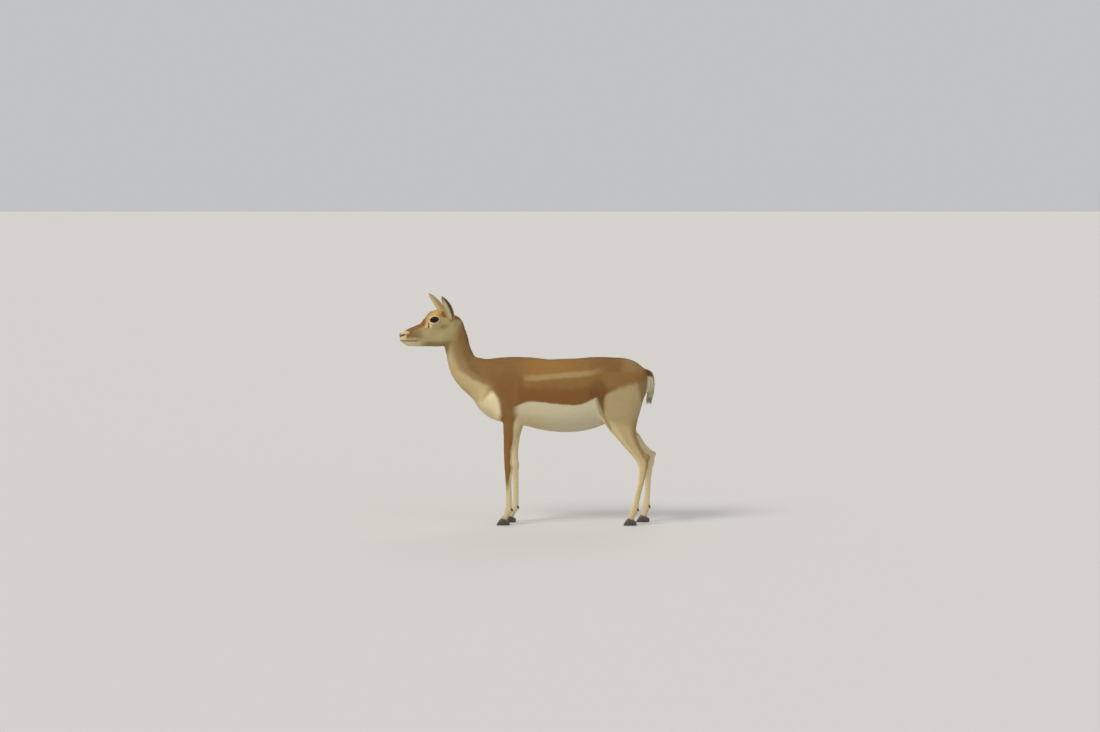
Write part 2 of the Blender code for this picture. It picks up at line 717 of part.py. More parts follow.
def make_foot(leg_object, path, side, end, ground):
    """Two claws and two dewclaws."""
    x, _, _, _, y = path[-1]
    fetlock = path[FETLOCK]
    for part, inward in (("inner", -1), ("outer", 1)):
        name = f"hoof_{end}_{side_name(side)}_{part}"
        middle = side * (y + inward * CLAW_SPREAD)
        stations = [(x + dx, middle, z, d, w) for dx, z, d, w in CLAW]
        one = mass(stations, 0.004)
        low, high = reach_of(one)
        low[2] = CLAW_BELOW
        claw = grown(name, [one], low, high, CLAW_STEP, CLAW_TRIANGLES, PAINTS["hoof"])
        slice_away(claw, ((x, 0, -GAP / 2), (0, 0, 1)), keep_above=True)
        slice_away(claw, ground, keep_above=False)
        cleft = side * y + side * inward * CLEFT
        slice_away(claw, ((x, cleft, 0), (0, side * inward, 0)), keep_above=True)
        tip = [
            (fetlock[0] + dx, side * (y + inward * DEWCLAW_SPREAD), fetlock[1] + dz, d, w)
            for dx, dz, d, w in DEWCLAW
        ]
        one = mass(tip, 0.002)
        low, high = reach_of(one)
        small = f"dewclaw_{end}_{side_name(side)}_{part}"
        grown(small, [one], low, high, DEWCLAW_STEP, DEWCLAW_TRIANGLES, PAINTS["hoof"])
        seat = cutter(f"seat_{small}", [one], low, high, DEWCLAW_STEP, DEWCLAW_TRIANGLES)
        shifted(seat, GAP * 1.3)
        combine(leg_object, seat, "DIFFERENCE")


def keep_largest(obj):
    """Drops what the box of a leg caught besides the leg."""
    edit = bmesh.new()
    edit.from_mesh(obj.data)
    left, islands = set(edit.verts), []
    while left:
        stack, island = [left.pop()], set()
        while stack:
            vertex = stack.pop()
            island.add(vertex)
            for edge in vertex.link_edges:
                other = edge.other_vert(vertex)
                if other in left:
                    left.discard(other)
                    stack.append(other)
        islands.append(island)
    best = max(islands, key=len)
    bmesh.ops.delete(edit, geom=[v for v in edit.verts if v not in best], context="VERTS")
    edit.to_mesh(obj.data)
    edit.free()


def make_tail(torso):
    """The tail with the locks of hair at its end, and the seat in the torso that holds its root."""
    masses = [mass(TAIL, 0.008)]
    for i in range(TAIL_LOCKS):
        angle = 2 * math.pi * i / TAIL_LOCKS
        back, out = math.cos(angle), math.sin(angle)
        x = LOCK_RING[0] + LOCK_SPREAD[0] * back
        start = np.array([x, LOCK_SPREAD[1] * out, LOCK_RING[1] - LOCK_STAGGER * (i % 3)])
        fall = TAIL_LOCK_LENGTH * (0.8 + 0.1 * (i % 3))
        end = start + (LOCK_SPREAD[0] * back - LOCK_LEAN, LOCK_LEAN * out, -fall)
        places = (start, (start + end) / 2, end)
        masses.append(mass([(*place, *size) for place, size in zip(places, LOCK_SIZES)], 0.002))
    lows, highs = zip(*(reach_of(one) for one in masses))
    low, high = np.min(lows, axis=0), np.max(highs, axis=0)
    grown("tail", masses, low, high, TAIL_STEP, TAIL_TRIANGLES, PAINTS["tail"])
    seat = cutter("tail_seat", masses, low, high, TAIL_STEP, TAIL_SEAT_TRIANGLES)
    shifted(seat, GAP * 3)
    combine(torso, seat, "DIFFERENCE")


def make_trunk(masses):
    torso = grown("torso", masses, *TORSO_BOX, TORSO_STEP, TORSO_TRIANGLES, PAINTS["coat"])
    slice_away(torso, NECK_PLANE, keep_above=True)
    slice_away(torso, FORELEG_PLANE, keep_above=True, region=lambda co: -0.20 < co.x < 0.0 and co.z < 0.5)
    slice_away(torso, HINDLEG_PLANE, keep_above=True, region=lambda co: co.x > 0.335 and co.z < 0.56)
    keep_largest(torso)
    neck = grown("neck", masses + head_masses(), *NECK_BOX, NECK_STEP, NECK_TRIANGLES, PAINTS["coat"])
    slice_away(neck, HEAD_PLANE, keep_above=True)
    slice_away(neck, NECK_PLANE, keep_above=False)
    keep_largest(neck)
    return torso


def centre_on_floor():
    """Puts the middle of the whole animal's box over the origin."""
    corners = [obj.matrix_world @ Vector(c) for obj in ANIMAL.objects for c in obj.bound_box]
    middle = [(min(c[i] for c in corners) + max(c[i] for c in corners)) / 2 for i in (0, 1)]
    for obj in [*ANIMAL.objects, *CUTTERS.objects]:
        obj.data.transform(Matrix.Translation((-middle[0], -middle[1], 0.0)))


for old in list(bpy.data.objects):
    bpy.data.objects.remove(old)
ANIMAL = bpy.data.collections.new("female_blackbuck")
CUTTERS = bpy.data.collections.new("cutters")
for group in (ANIMAL, CUTTERS):
    bpy.context.scene.collection.children.link(group)
PAINTS = {
    "coat": material("coat", (0.42, 0.25, 0.12), 0.9),
    "ear": material("ear", (0.46, 0.31, 0.18), 0.9),
    "eye": material("eye", (0.012, 0.009, 0.008), 0.08),
    "hoof": material("hoof", (0.03, 0.026, 0.024), 0.45),
    "tail": material("tail", (0.16, 0.09, 0.05), 0.9),
}
flesh = body_masses()
make_head()
make_tail(make_trunk(flesh))
make_legs(flesh)
centre_on_floor()
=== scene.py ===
import math

import bmesh
import bpy
import numpy as np
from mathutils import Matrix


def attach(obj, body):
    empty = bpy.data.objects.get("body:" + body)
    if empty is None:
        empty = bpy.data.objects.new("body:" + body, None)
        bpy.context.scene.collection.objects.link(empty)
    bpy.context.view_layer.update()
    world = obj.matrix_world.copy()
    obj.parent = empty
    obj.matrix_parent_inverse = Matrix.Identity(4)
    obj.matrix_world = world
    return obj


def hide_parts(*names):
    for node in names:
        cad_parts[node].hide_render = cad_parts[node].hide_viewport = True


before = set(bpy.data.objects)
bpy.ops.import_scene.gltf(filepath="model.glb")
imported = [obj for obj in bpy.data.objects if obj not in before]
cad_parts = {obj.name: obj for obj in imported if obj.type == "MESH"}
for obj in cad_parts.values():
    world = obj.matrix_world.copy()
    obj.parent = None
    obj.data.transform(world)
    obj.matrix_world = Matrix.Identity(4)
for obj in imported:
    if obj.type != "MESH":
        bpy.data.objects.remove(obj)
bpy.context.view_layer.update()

import openvdb
from mathutils import Vector

# The CAD model is this far from the animal's own frame, in which the nose points along -X, the left
# side along -Y, Z is up and the floor is z = 0. Lengths are in metres.
SHIFT = np.array([-0.007662, -0.000096, 0.0])
LEFT, RIGHT = -1.0, 1.0

# A path's steps between two stations, the fine steps in a coarse one, the distance that is read where
# nothing is near, and the grids' steps and boxes.
STEPS_BETWEEN = 8
COARSE = 4
FAR_AWAY = 0.08
BODY_GRID, HEAD_GRID, CLAW_GRID = 0.0048, 0.0013, 0.0009
BODY_BOX = (-0.45, -0.15, -0.02), (0.62, 0.15, 0.87)
HEAD_BOX = (-0.61, -0.13, 0.755), (-0.24, 0.10, 1.055)

# The body. Each station is (x, y, z, half depth, half width).
TRUNK = [
    (-0.128, 0, 0.603, 0.112, 0.066), (-0.09, 0, 0.613, 0.146, 0.083), (0.0, 0, 0.606, 0.156, 0.098),
    (0.09, 0, 0.59, 0.163, 0.111), (0.17, 0, 0.5865, 0.169, 0.117), (0.24, 0, 0.591, 0.1665, 0.114),
    (0.31, 0, 0.607, 0.155, 0.104), (0.38, 0, 0.625, 0.135, 0.095), (0.43, 0, 0.64, 0.115, 0.086),
    (0.475, 0, 0.655, 0.078, 0.068),
]
NECK = [
    (-0.332, 0, 0.89, 0.05, 0.036), (-0.322, 0, 0.84, 0.058, 0.036), (-0.31, 0, 0.785, 0.06, 0.037),
    (-0.281, 0, 0.712, 0.0717, 0.043), (-0.22, 0, 0.667, 0.092, 0.055), (-0.14, 0, 0.635, 0.115, 0.068),
]
SHOULDER = [
    (-0.04, 0.024, 0.7, 0.04, 0.018), (-0.09, 0.045, 0.645, 0.058, 0.03),
    (-0.14, 0.056, 0.585, 0.055, 0.036), (-0.15, 0.057, 0.56, 0.045, 0.034),
]
UPPER_ARM = [
    (-0.15, 0.058, 0.565, 0.042, 0.034), (-0.105, 0.064, 0.53, 0.052, 0.034),
    (-0.07, 0.066, 0.5, 0.044, 0.03),
]
BREAST = [(-0.17, 0, 0.56, 0.045, 0.04), (-0.115, 0, 0.525, 0.048, 0.05), (-0.04, 0, 0.5, 0.045, 0.06)]
LOIN = [
    (0.3, 0.035, 0.705, 0.03, 0.028), (0.39, 0.045, 0.694, 0.042, 0.03),
    (0.47, 0.04, 0.661, 0.053, 0.034), (0.505, 0.036, 0.637, 0.046, 0.03),
]
FLANK_FOLD = [
    (0.315, 0.094, 0.538, 0.016, 0.012), (0.35, 0.092, 0.497, 0.022, 0.013),
    (0.392, 0.084, 0.456, 0.024, 0.014),
]
BUTTOCK = [
    (0.49, 0.034, 0.645, 0.05, 0.034), (0.476, 0.04, 0.585, 0.048, 0.036),
    (0.458, 0.046, 0.525, 0.045, 0.034),
]
TAIL = [
    (0.522, 0, 0.692, 0.019, 0.02), (0.548, 0, 0.683, 0.017, 0.019), (0.56, 0, 0.655, 0.012, 0.017),
    (0.561, 0, 0.62, 0.01, 0.015), (0.556, 0, 0.585, 0.006, 0.01),
]
# Legs are (x, z, half depth, half width, distance from the middle). The right legs have the left ones'
# rows at other places along x, and the right hock is a little deeper.
FORELEG_LEFT = [
    (-0.06, 0.5, 0.05, 0.03, 0.066), (-0.07, 0.45, 0.04, 0.029, 0.065),
    (-0.078, 0.4, 0.03, 0.0245, 0.061), (-0.085, 0.34, 0.0215, 0.0195, 0.058),
    (-0.086, 0.29, 0.0185, 0.018, 0.056), (-0.083, 0.262, 0.0205, 0.0195, 0.055),
    (-0.084, 0.235, 0.0165, 0.016, 0.054), (-0.084, 0.19, 0.0145, 0.012, 0.053),
    (-0.082, 0.14, 0.0138, 0.0115, 0.053), (-0.082, 0.095, 0.0142, 0.012, 0.052),
    (-0.084, 0.068, 0.0172, 0.0145, 0.052), (-0.094, 0.045, 0.0135, 0.013, 0.052),
    (-0.105, 0.026, 0.015, 0.0165, 0.052),
]
FORELEG_RIGHT_X = (
    -0.05, -0.055, -0.059, -0.06, -0.058, -0.056, -0.055, -0.053, -0.052, -0.053, -0.057, -0.067, -0.078,
)
FORELEG_RIGHT = [(x, *row[1:]) for x, row in zip(FORELEG_RIGHT_X, FORELEG_LEFT)]
HINDLEG_LEFT = [
    (0.44, 0.645, 0.098, 0.04, 0.052), (0.43, 0.56, 0.092, 0.044, 0.066),
    (0.428, 0.49, 0.075, 0.04, 0.076), (0.443, 0.43, 0.052, 0.032, 0.076),
    (0.473, 0.37, 0.035, 0.0235, 0.07), (0.503, 0.322, 0.0255, 0.0185, 0.065),
    (0.524, 0.286, 0.0255, 0.019, 0.062), (0.524, 0.25, 0.0185, 0.0165, 0.062),
    (0.517, 0.2, 0.0145, 0.013, 0.062), (0.505, 0.15, 0.0135, 0.0122, 0.062),
    (0.495, 0.105, 0.0138, 0.0125, 0.062), (0.487, 0.07, 0.0178, 0.0155, 0.062),
    (0.478, 0.046, 0.0138, 0.0135, 0.062), (0.47, 0.026, 0.015, 0.017, 0.062),
]
HINDLEG_RIGHT_X = (
    0.44, 0.43, 0.431, 0.446, 0.483, 0.528, 0.555, 0.555, 0.552, 0.55, 0.547, 0.543, 0.538, 0.532,
)
HINDLEG_RIGHT = [(x, *row[1:]) for x, row in zip(HINDLEG_RIGHT_X, HINDLEG_LEFT)]
HINDLEG_RIGHT[5] = (0.528, 0.322, 0.0265, 0.0185, 0.065)
LEGS = (
    (FORELEG_LEFT, LEFT, "foreleg"),
    (FORELEG_RIGHT, RIGHT, "foreleg"),
    (HINDLEG_LEFT, LEFT, "hindleg"),
    (HINDLEG_RIGHT, RIGHT, "hindleg"),
)
LEG_BLEND = {"foreleg": 0.012, "hindleg": 0.020}
# Bone and cord of the heel, from the hock: (back, up, radius).
HEEL_BONE = [(0.0, 0.0, 0.014), (0.017, 0.018, 0.0125), (0.021, 0.026, 0.0105)]
HEEL_CORD = [(0.019, 0.025, 0.01), (-0.022, 0.062, 0.012), (-0.052, 0.105, 0.015)]
# Above LEG_TOP and before TAIL_FROM the skin's mesh is coarser.
LEG_TOP, TAIL_FROM = 0.40, 0.535

# Feet. A claw's or a dewclaw's station is (forward shift, height, half depth, half width).
CLAW = [
    (0.015, 0.01, 0.012, 0.0078), (0.002, 0.018, 0.017, 0.0088), (-0.01, 0.013, 0.014, 0.0082),
    (-0.02, 0.0065, 0.009, 0.0064), (-0.028, 0.0035, 0.0045, 0.0042),
]
DEWCLAW = [
    (0.012, 0.006, 0.0046, 0.0042), (0.017, 0.0, 0.0036, 0.0034), (0.0185, -0.004, 0.0022, 0.0022),
]
CLAW_SPREAD, DEWCLAW_SPREAD = 0.0093, 0.0080
CORONET, CORONET_LAP = 0.027, 0.0015
CORONET_SLOPE = (0.41, 0, 0.912)
CLAW_PARTING = 0.0005

# The head in its own frame, before it is turned about the poll.
HEAD_TURN = math.radians(13.0)
POLL = np.array([-0.335, 0.0, 0.900])
HEAD_PLANE = ((-0.328, 0, 0.868), (0.894, 0, -0.447))
JOIN_PLANE = ((-0.313, 0, 0.795), (0.24, 0, -0.97))
JOIN_GAP = 0.004
SKULL = [
    (-0.559, 0, 0.846, 0.02, 0.018), (-0.535, 0, 0.856, 0.031, 0.022), (-0.5, 0, 0.867, 0.039, 0.025),
    (-0.46, 0, 0.882, 0.042, 0.034), (-0.422, 0, 0.906, 0.054, 0.046), (-0.385, 0, 0.912, 0.056, 0.043),
    (-0.345, 0, 0.905, 0.05, 0.036),
]
NOSE = [
    (-0.566, 0, 0.8645, 0.013, 0.0135), (-0.547, 0, 0.871, 0.0165, 0.016),
    (-0.523, 0, 0.878, 0.018, 0.018),
]
CROWN = [
    (-0.426, 0, 0.942, 0.03, 0.033), (-0.395, 0, 0.947, 0.032, 0.035), (-0.362, 0, 0.937, 0.03, 0.033),
]
JAW = [
    (-0.541, 0, 0.825, 0.011, 0.012), (-0.5, 0, 0.827, 0.016, 0.016), (-0.45, 0, 0.834, 0.024, 0.024),
    (-0.4, 0, 0.845, 0.037, 0.034), (-0.36, 0, 0.862, 0.045, 0.036),
]
CHEEK = [(-0.44, 0.024, 0.862, 0.03, 0.014), (-0.4, 0.027, 0.855, 0.04, 0.016)]
TEMPLE = [(-0.408, 0.026, 0.934, 0.024, 0.018), (-0.372, 0.024, 0.928, 0.026, 0.018)]
BROW = [(-0.434, 0.032, 0.951, 0.007, 0.008), (-0.41, 0.034, 0.953, 0.008, 0.009)]
UPPER_LIP = [
    (-0.573, 0.0055, 0.8455, 0.005, 0.006), (-0.56, 0.012, 0.846, 0.006, 0.006),
    (-0.537, 0.0175, 0.8435, 0.005, 0.005), (-0.512, 0.021, 0.842, 0.004, 0.004),
]
LOWER_LIP = [
    (-0.563, 0.004, 0.833, 0.004, 0.005), (-0.545, 0.011, 0.831, 0.0045, 0.0045),
    (-0.515, 0.017, 0.831, 0.0035, 0.0035),
]
CHIN_PAD = [
    (-0.559, 0.0, 0.832, 0.006, 0.0075), (-0.55, 0.0, 0.8278, 0.009, 0.0105),
    (-0.538, 0.0, 0.8255, 0.011, 0.0125),
]
NOSE_PAD = [(-0.5755, 0.0, 0.866, 0.006, 0.008), (-0.5755, 0.0, 0.857, 0.005, 0.0055)]
NOSTRIL_RIM = [
    (-0.5725, 0.0105, 0.869, 0.003, 0.003), (-0.564, 0.015, 0.8715, 0.003, 0.003),
    (-0.557, 0.017, 0.8685, 0.003, 0.003),
]
NOSTRIL_HOLE = [
    (-0.5755, 0.008, 0.8605, 0.0022, 0.003), (-0.57, 0.0112, 0.863, 0.0032, 0.0038),
    (-0.5645, 0.014, 0.8655, 0.0024, 0.003), (-0.5605, 0.0158, 0.8655, 0.0012, 0.0016),
]
MOUTH_LINE = [
    (-0.59, 0, 0.8405, 0.0009, 0.03), (-0.562, 0, 0.8385, 0.0009, 0.03),
    (-0.537, 0, 0.8372, 0.001, 0.03), (-0.508, 0, 0.8382, 0.0008, 0.03),
]
MOUTH_CORE = [
    (-0.566, 0, 0.839, 0.02, 0.0105), (-0.54, 0, 0.837, 0.02, 0.0155), (-0.505, 0, 0.837, 0.02, 0.02),
]
CHEEK_BONE = [
    (-0.47, 0.03, 0.897, 0.005, 0.005), (-0.44, 0.037, 0.903, 0.006, 0.005),
    (-0.4, 0.04, 0.908, 0.006, 0.005),
]
TEAR_FOLD = [
    (-0.4535, 0.0385, 0.915, 0.0016, 0.0016), (-0.455, 0.0395, 0.9065, 0.0024, 0.0024),
    (-0.4545, 0.0398, 0.899, 0.0016, 0.0016),
]
# The eye: its middle, the way it looks, and the opening of the lids.
EYE = (-0.4275, 0.0365, 0.9315)
EYE_LOOK = (-0.25, 0.95, 0.1)
EYE_RADIUS, LID = 0.0185, 0.0024
LID_HALF_WIDTH, LID_RISE, LID_DROP = 0.0172, 0.0118, 0.0092
LID_TILT = math.radians(10.0)
EYE_RINGS, EYE_PARTS = 40, 72
LASHES = 130

# Ears in the body's frame: base, tip and the way the cup faces.
EARS = {
    LEFT: ((-0.337, -0.033, 0.920), (-0.382, -0.087, 1.040), (-0.50, -0.80, 0.10)),
    RIGHT: ((-0.368, 0.026, 0.930), (-0.447, 0.058, 1.046), (-0.80, 0.60, 0.10)),
}
# (share of the ear's length, half depth, half width)
EAR_SECTIONS = [
    (-0.08, 0.012, 0.012), (0.08, 0.013, 0.0145), (0.25, 0.0135, 0.02), (0.45, 0.0115, 0.0215),
    (0.65, 0.009, 0.0205), (0.85, 0.0058, 0.0135), (0.98, 0.0028, 0.005),
]
EAR_WALL, EAR_BOW = 0.0030, 0.010

# Colours, 0 to 255; only the hooves' are as the shader reads them.
BACK, BACK_REAR, SPINE = (154, 113, 58), (129, 93, 49), (118, 84, 44)
WITHERS, RUMP = (138, 102, 55), (150, 119, 72)
FLANK_UPPER, FLANK, FLANK_DARK = (140, 104, 55), (129, 86, 41), (104, 70, 36)
STRIPE = (172, 147, 100)
# SHOULDER_SHADE is painted shade in a band down behind the shoulder.
SHOULDER_BROWN, SHOULDER_SHADE = (134, 94, 50), (112, 79, 42)
# CREASE_SHADE is painted shade in the crease across the thigh.
THIGH, THIGH_BACK, CREASE_SHADE = (174, 154, 112), (128, 97, 56), (158, 124, 80)
NECK_SIDE, NECK_TOP, THROAT = (152, 128, 84), (128, 89, 43), (202, 179, 130)
# BELLY_WHITE_SHADED is the white underside, painted a little darker than the chest as painted shade.
CHEST, BELLY_WHITE_SHADED, BUTTOCK_WHITE = (240, 221, 176), (204, 193, 160), (224, 212, 180)
# FOLD_SHADE is painted shade along the fold between the flank and the thigh.
FOLD_SHADE = (120, 94, 58)
FORELEG_BROWN, KNEE = (138, 99, 50), (142, 97, 48)
LEG_PALE, LEG_LOW, LEG_INNER, FOOT = (208, 190, 148), (204, 188, 150), (214, 198, 160), (176, 152, 112)
# HIND_RIM_LIGHT is a painted highlight down the front edge of the hind legs.
GASKIN, HIND_LOW, HIND_BACK, HIND_RIM_LIGHT = (196, 175, 126), (204, 181, 132), (140, 107, 64), (230, 209, 160)
TAIL_ROOT, TAIL_TOP, TAIL_DARK, TAIL_WHITE = (130, 86, 46), (168, 146, 104), (104, 78, 48), (242, 232, 200)
CHEEK_PALE, CHEEK_BACK, JAW_LINE = (178, 160, 114), (176, 161, 114), (150, 128, 82)
NOSE_SIDE, BRIDGE, FOREHEAD, GOLD = (130, 108, 72), (136, 96, 50), (188, 150, 86), (214, 174, 108)
CHESTNUT, SMUDGE = (124, 80, 38), (142, 120, 72)
EYE_RING, EYE_RIM, SLIT = (232, 210, 164), (34, 26, 20), (96, 76, 50)
# LIP_PALE_AND_HIGHLIGHT is the pale lips and also a painted highlight over the nostril;
# NOSE_AND_NOSTRIL_SHADE is the dark nose and also painted shade in the nostrils.
LIP_PALE_AND_HIGHLIGHT, CHIN, NOSE_AND_NOSTRIL_SHADE, LIP_DARK = (212, 191, 148), (216, 201, 164), (78, 60, 46), (116, 92, 64)
EAR_BACK, EAR_TIP, EAR_EDGE = (168, 142, 92), (120, 96, 60), (206, 186, 142)
# EAR_CUP_SHADE is painted shade inside the ear's cup.
EAR_CUP_SHADE, EAR_HAIR, EAR_REAR = (96, 82, 58), (234, 213, 164), (116, 92, 56)
EYE_WHITE, IRIS_RIM, IRIS = (150, 128, 110), (36, 24, 16), (40, 25, 15)
IRIS_RAYS, PUPIL = (64, 40, 22), (5, 4, 4)
LASH = (22, 17, 14)
HORN_DARK, HORN_WORN = (0.030, 0.026, 0.022, 1.0), (0.130, 0.106, 0.082, 1.0)

# Where the markings meet, as x and z of the side view. REAR_HALF and TAIL_WIDTH are half widths from
# behind, and BROWN_LIMIT is how far round the foreleg its brown front reaches.
STRIPE_X = [-0.06, 0.014, 0.081, 0.166, 0.223, 0.285, 0.36]
STRIPE_Z = [0.67, 0.674, 0.677, 0.6856, 0.688, 0.697, 0.712]
BELLY_X = [-0.06, -0.023, -0.0025, 0.059, 0.11, 0.166, 0.223, 0.268, 0.3, 0.32]
BELLY_Z = [0.545, 0.558, 0.568, 0.566, 0.5605, 0.555, 0.552, 0.5634, 0.58, 0.588]
THIGH_X = [0.34, 0.35, 0.381, 0.432, 0.494, 0.54]
THIGH_Z = [0.55, 0.5975, 0.62, 0.64, 0.657, 0.668]
REAR_Z = [0.44, 0.5, 0.54, 0.58, 0.62, 0.65, 0.67, 0.69]
REAR_X = [0.46, 0.499, 0.515, 0.533, 0.549, 0.551, 0.546, 0.536]
REAR_HALF = [0.034, 0.036, 0.04, 0.047, 0.053, 0.052, 0.048, 0.04]
CHEST_Z = [0.46, 0.497, 0.55, 0.584, 0.611]
CHEST_X = [-0.112, -0.1185, -0.127, -0.134, -0.146]
CHEST_TOP_X = [-0.23, -0.2, -0.16, -0.13]
CHEST_TOP_Z = [0.555, 0.582, 0.611, 0.604]
FOLD = ((0.3134, 0.5748), (0.3303, 0.518), (0.3529, 0.4839), (0.3756, 0.4441))
NECK_Z = [0.635, 0.667, 0.712, 0.785, 0.84, 0.89]
NECK_X = [-0.14, -0.22, -0.281, -0.31, -0.322, -0.332]
BROW_LINE = ((-0.418, 0.968), (-0.444, 0.951), (-0.459, 0.928), (-0.464, 0.9))
SLIT_LINE = ((-0.454, 0.917), (-0.4555, 0.908), (-0.4548, 0.898))
BRIDGE_X = [-0.56, -0.547, -0.535, -0.523, -0.5, -0.475, -0.455]
BRIDGE_Z = [0.852, 0.854, 0.859, 0.878, 0.892, 0.904, 0.925]
SHOULDER_LINE = ((-0.030, 0.67), (-0.032, 0.60), (-0.026, 0.56))
BROWN_Z, BROWN_LIMIT = [0.14, 0.22, 0.30, 0.42, 0.50], [0.62, 0.30, 0.18, 0.10, 0.0]
BROWN_BACK_Z = [0.23, 0.31, 0.40, 0.484, 0.512, 0.558]
BROWN_BACK_X = [-0.074, -0.066, -0.063, -0.057, -0.040, -0.020]
TAIL_LINE_Z = [0.52, 0.585, 0.62, 0.655, 0.683, 0.70]
TAIL_LINE_X = [0.555, 0.559, 0.564, 0.562, 0.549, 0.522]
TAIL_WIDTH_Z, TAIL_WIDTH = [0.52, 0.585, 0.62, 0.655, 0.69], [0.006, 0.010, 0.014, 0.016, 0.020]
SLIT_FRONT = ((-0.4475, 0.915), (-0.4470, 0.898))

# Hair: how far its shading leans to the skin's, its tufts, and the size of a tuft's patch on the unwrap.
NORMAL_LEAN = 0.90
TUFTS_A_PIECE, TAIL_TUFTS = 21500, 1500
PATCH = 0.003

# The studio. A lamp is (name, the way its light goes, spread in degrees, strength, colour).
FLOOR_REACH = 60.0
FLOOR_COLOUR, SKY_COLOUR, SKY_STRENGTH = (0.66, 0.645, 0.62), (0.86, 0.87, 0.89), 0.62
LAMPS = (
    ("key", (0.62, 0.55, -0.80), 22.0, 1.55, (1.0, 0.95, 0.87)),
    ("fill", (-0.70, 0.55, -0.35), 50.0, 0.35, (0.93, 0.96, 1.0)),
    ("back", (-0.20, -0.80, -0.60), 40.0, 0.45, (1.0, 0.98, 0.95)),
)
CAMERA_PLACE, CAMERA_LENS, CAMERA_PITCH = (0.104, -13.57, 1.74), 98.2, math.radians(4.3)


def unit(vector):
    vector = np.array(vector, float)
    return vector / np.linalg.norm(vector)


def smooth_path(stations):
    """Catmull-Rom through the stations; each is (x, y, z, half depth, half width)."""
    knots = np.array(stations, float)
    padded = np.vstack([2 * knots[0] - knots[1], knots, 2 * knots[-1] - knots[-2]])
    path = []
    for i in range(len(knots) - 1):
        before, start, end, after = padded[i : i + 4]
        square = 2 * before - 5 * start + 4 * end - after
        cube = 3 * start - before - 3 * end + after
        for t in np.arange(STEPS_BETWEEN) / STEPS_BETWEEN:
            path.append(0.5 * (2 * start + (end - before) * t + square * t**2 + cube * t**3))
    path = np.array([*path, knots[-1]])
    path[:, 3:] = np.maximum(path[:, 3:], knots[:, 3:].min(axis=0))
    return path


def mass(stations, blend, across=(0, 1, 0), power=2.0, taper=0.0, carve=False, space="body", paired=False):
    """One mass of flesh or bone: elliptical sections swept along a smooth path. taper narrows the
    sections on the side that is dorsal on the trunk and rear on a leg; carve takes the mass away."""
    across = np.array(across, float)
    return dict(
        path=smooth_path(stations), blend=blend, across=across, power=power, taper=taper,
        carve=carve, space=space, paired=paired,
    )


def form(measure, low, high, blend, carve=True, space="body", paired=False):
    """A mass from its own distance function, inside a box."""
    return dict(measure=measure, box=(low, high), blend=blend, carve=carve, space=space, paired=paired)


def half_space(point, normal, low, high, blend=0.0008):
    """Takes away all that is on the normal's back side of a plane, inside a box."""
    return form(lambda points: (points - point) @ normal, low, high, blend)


def turn_at_poll(points, angle):
    points = np.atleast_2d(np.array(points, float))
    cos, sin = math.cos(angle), math.sin(angle)
    x, y = points[:, 0] - POLL[0], points[:, 1] - POLL[1]
    return np.column_stack([x * cos - y * sin + POLL[0], x * sin + y * cos + POLL[1], points[:, 2]])


def to_head(points):
    """Points of the body's frame in the head's own frame, where the head isn't turned."""
    return turn_at_poll(points, -HEAD_TURN)


def from_head(points):
    """Points of the head's own frame in the body's frame."""
    return turn_at_poll(points, HEAD_TURN)


def mass_distance(points, one):
    """About how far each point is outside the mass, in metres, negative inside it."""
    best = np.full(len(points), FAR_AWAY)
    path = one["path"]
    for a, b in zip(path[:-1], path[1:]):
        length = np.linalg.norm(b[:3] - a[:3])
        along = (b[:3] - a[:3]) / length
        across = one["across"] - (one["across"] @ along) * along
        across /= np.linalg.norm(across)
        deep = np.cross(along, across)
        offset = points - a[:3]
        run = offset @ along
        t = np.clip(run / length, 0.0, 1.0)
        depth = a[3] + (b[3] - a[3]) * t
        width = a[4] + (b[4] - a[4]) * t
        u, v, w = offset @ across, offset @ deep, run - t * length
        if one["taper"]:
            width = width * (1.0 + one["taper"] * np.clip(v / depth, -1.0, 1.0))
        n = one["power"]
        ratio = ((np.abs(u) / width) ** n + (np.abs(v) / depth) ** n + (np.abs(w) / depth) ** n) ** (1 / n)
        reach = np.sqrt(u * u + v * v + w * w)
        ratio, reach = np.maximum(ratio, 1e-6), np.maximum(reach, 1e-9)
        best = np.minimum(best, reach - reach / ratio)
    return best


def smooth_min(a, b, k):
    h = np.clip(0.5 + 0.5 * (b - a) / k, 0.0, 1.0)
    return b + (a - b) * h - k * h * (1.0 - h)


def reach_of(one):
    """The mass's box in its own frame, grown by what it can change."""
    if "box" in one:
        return one["box"]
    path = one["path"]
    grow = path[:, 3:].max(axis=1, keepdims=True) + one["blend"] + 0.004
    return (path[:, :3] - grow).min(axis=0), (path[:, :3] + grow).max(axis=0)


def in_reach(points, one, more=0.0):
    """Which points a mass can change."""
    low, high = reach_of(one)
    return np.all((points > low - more) & (points < high + more), axis=1)


def one_side(points):
    """The points, with those of the left side mirrored to the right."""
    return np.column_stack([points[:, 0], np.abs(points[:, 1]), points[:, 2]])


def field(points, masses):
    """The smooth sum of the masses at the points: negative inside the animal."""
    values = np.full(len(points), FAR_AWAY)
    turned = to_head(points)
    for one in masses:
        own = turned if one["space"] == "head" else points
        if one["paired"]:
            own = one_side(own)
        near = in_reach(own, one)
        if not near.any():
            continue
        distance = one["measure"](own[near]) if "measure" in one else mass_distance(own[near], one)
        if one["carve"]:
            values[near] = -smooth_min(-values[near], distance, one["blend"])
        else:
            values[near] = smooth_min(values[near], distance, one["blend"])
    return values


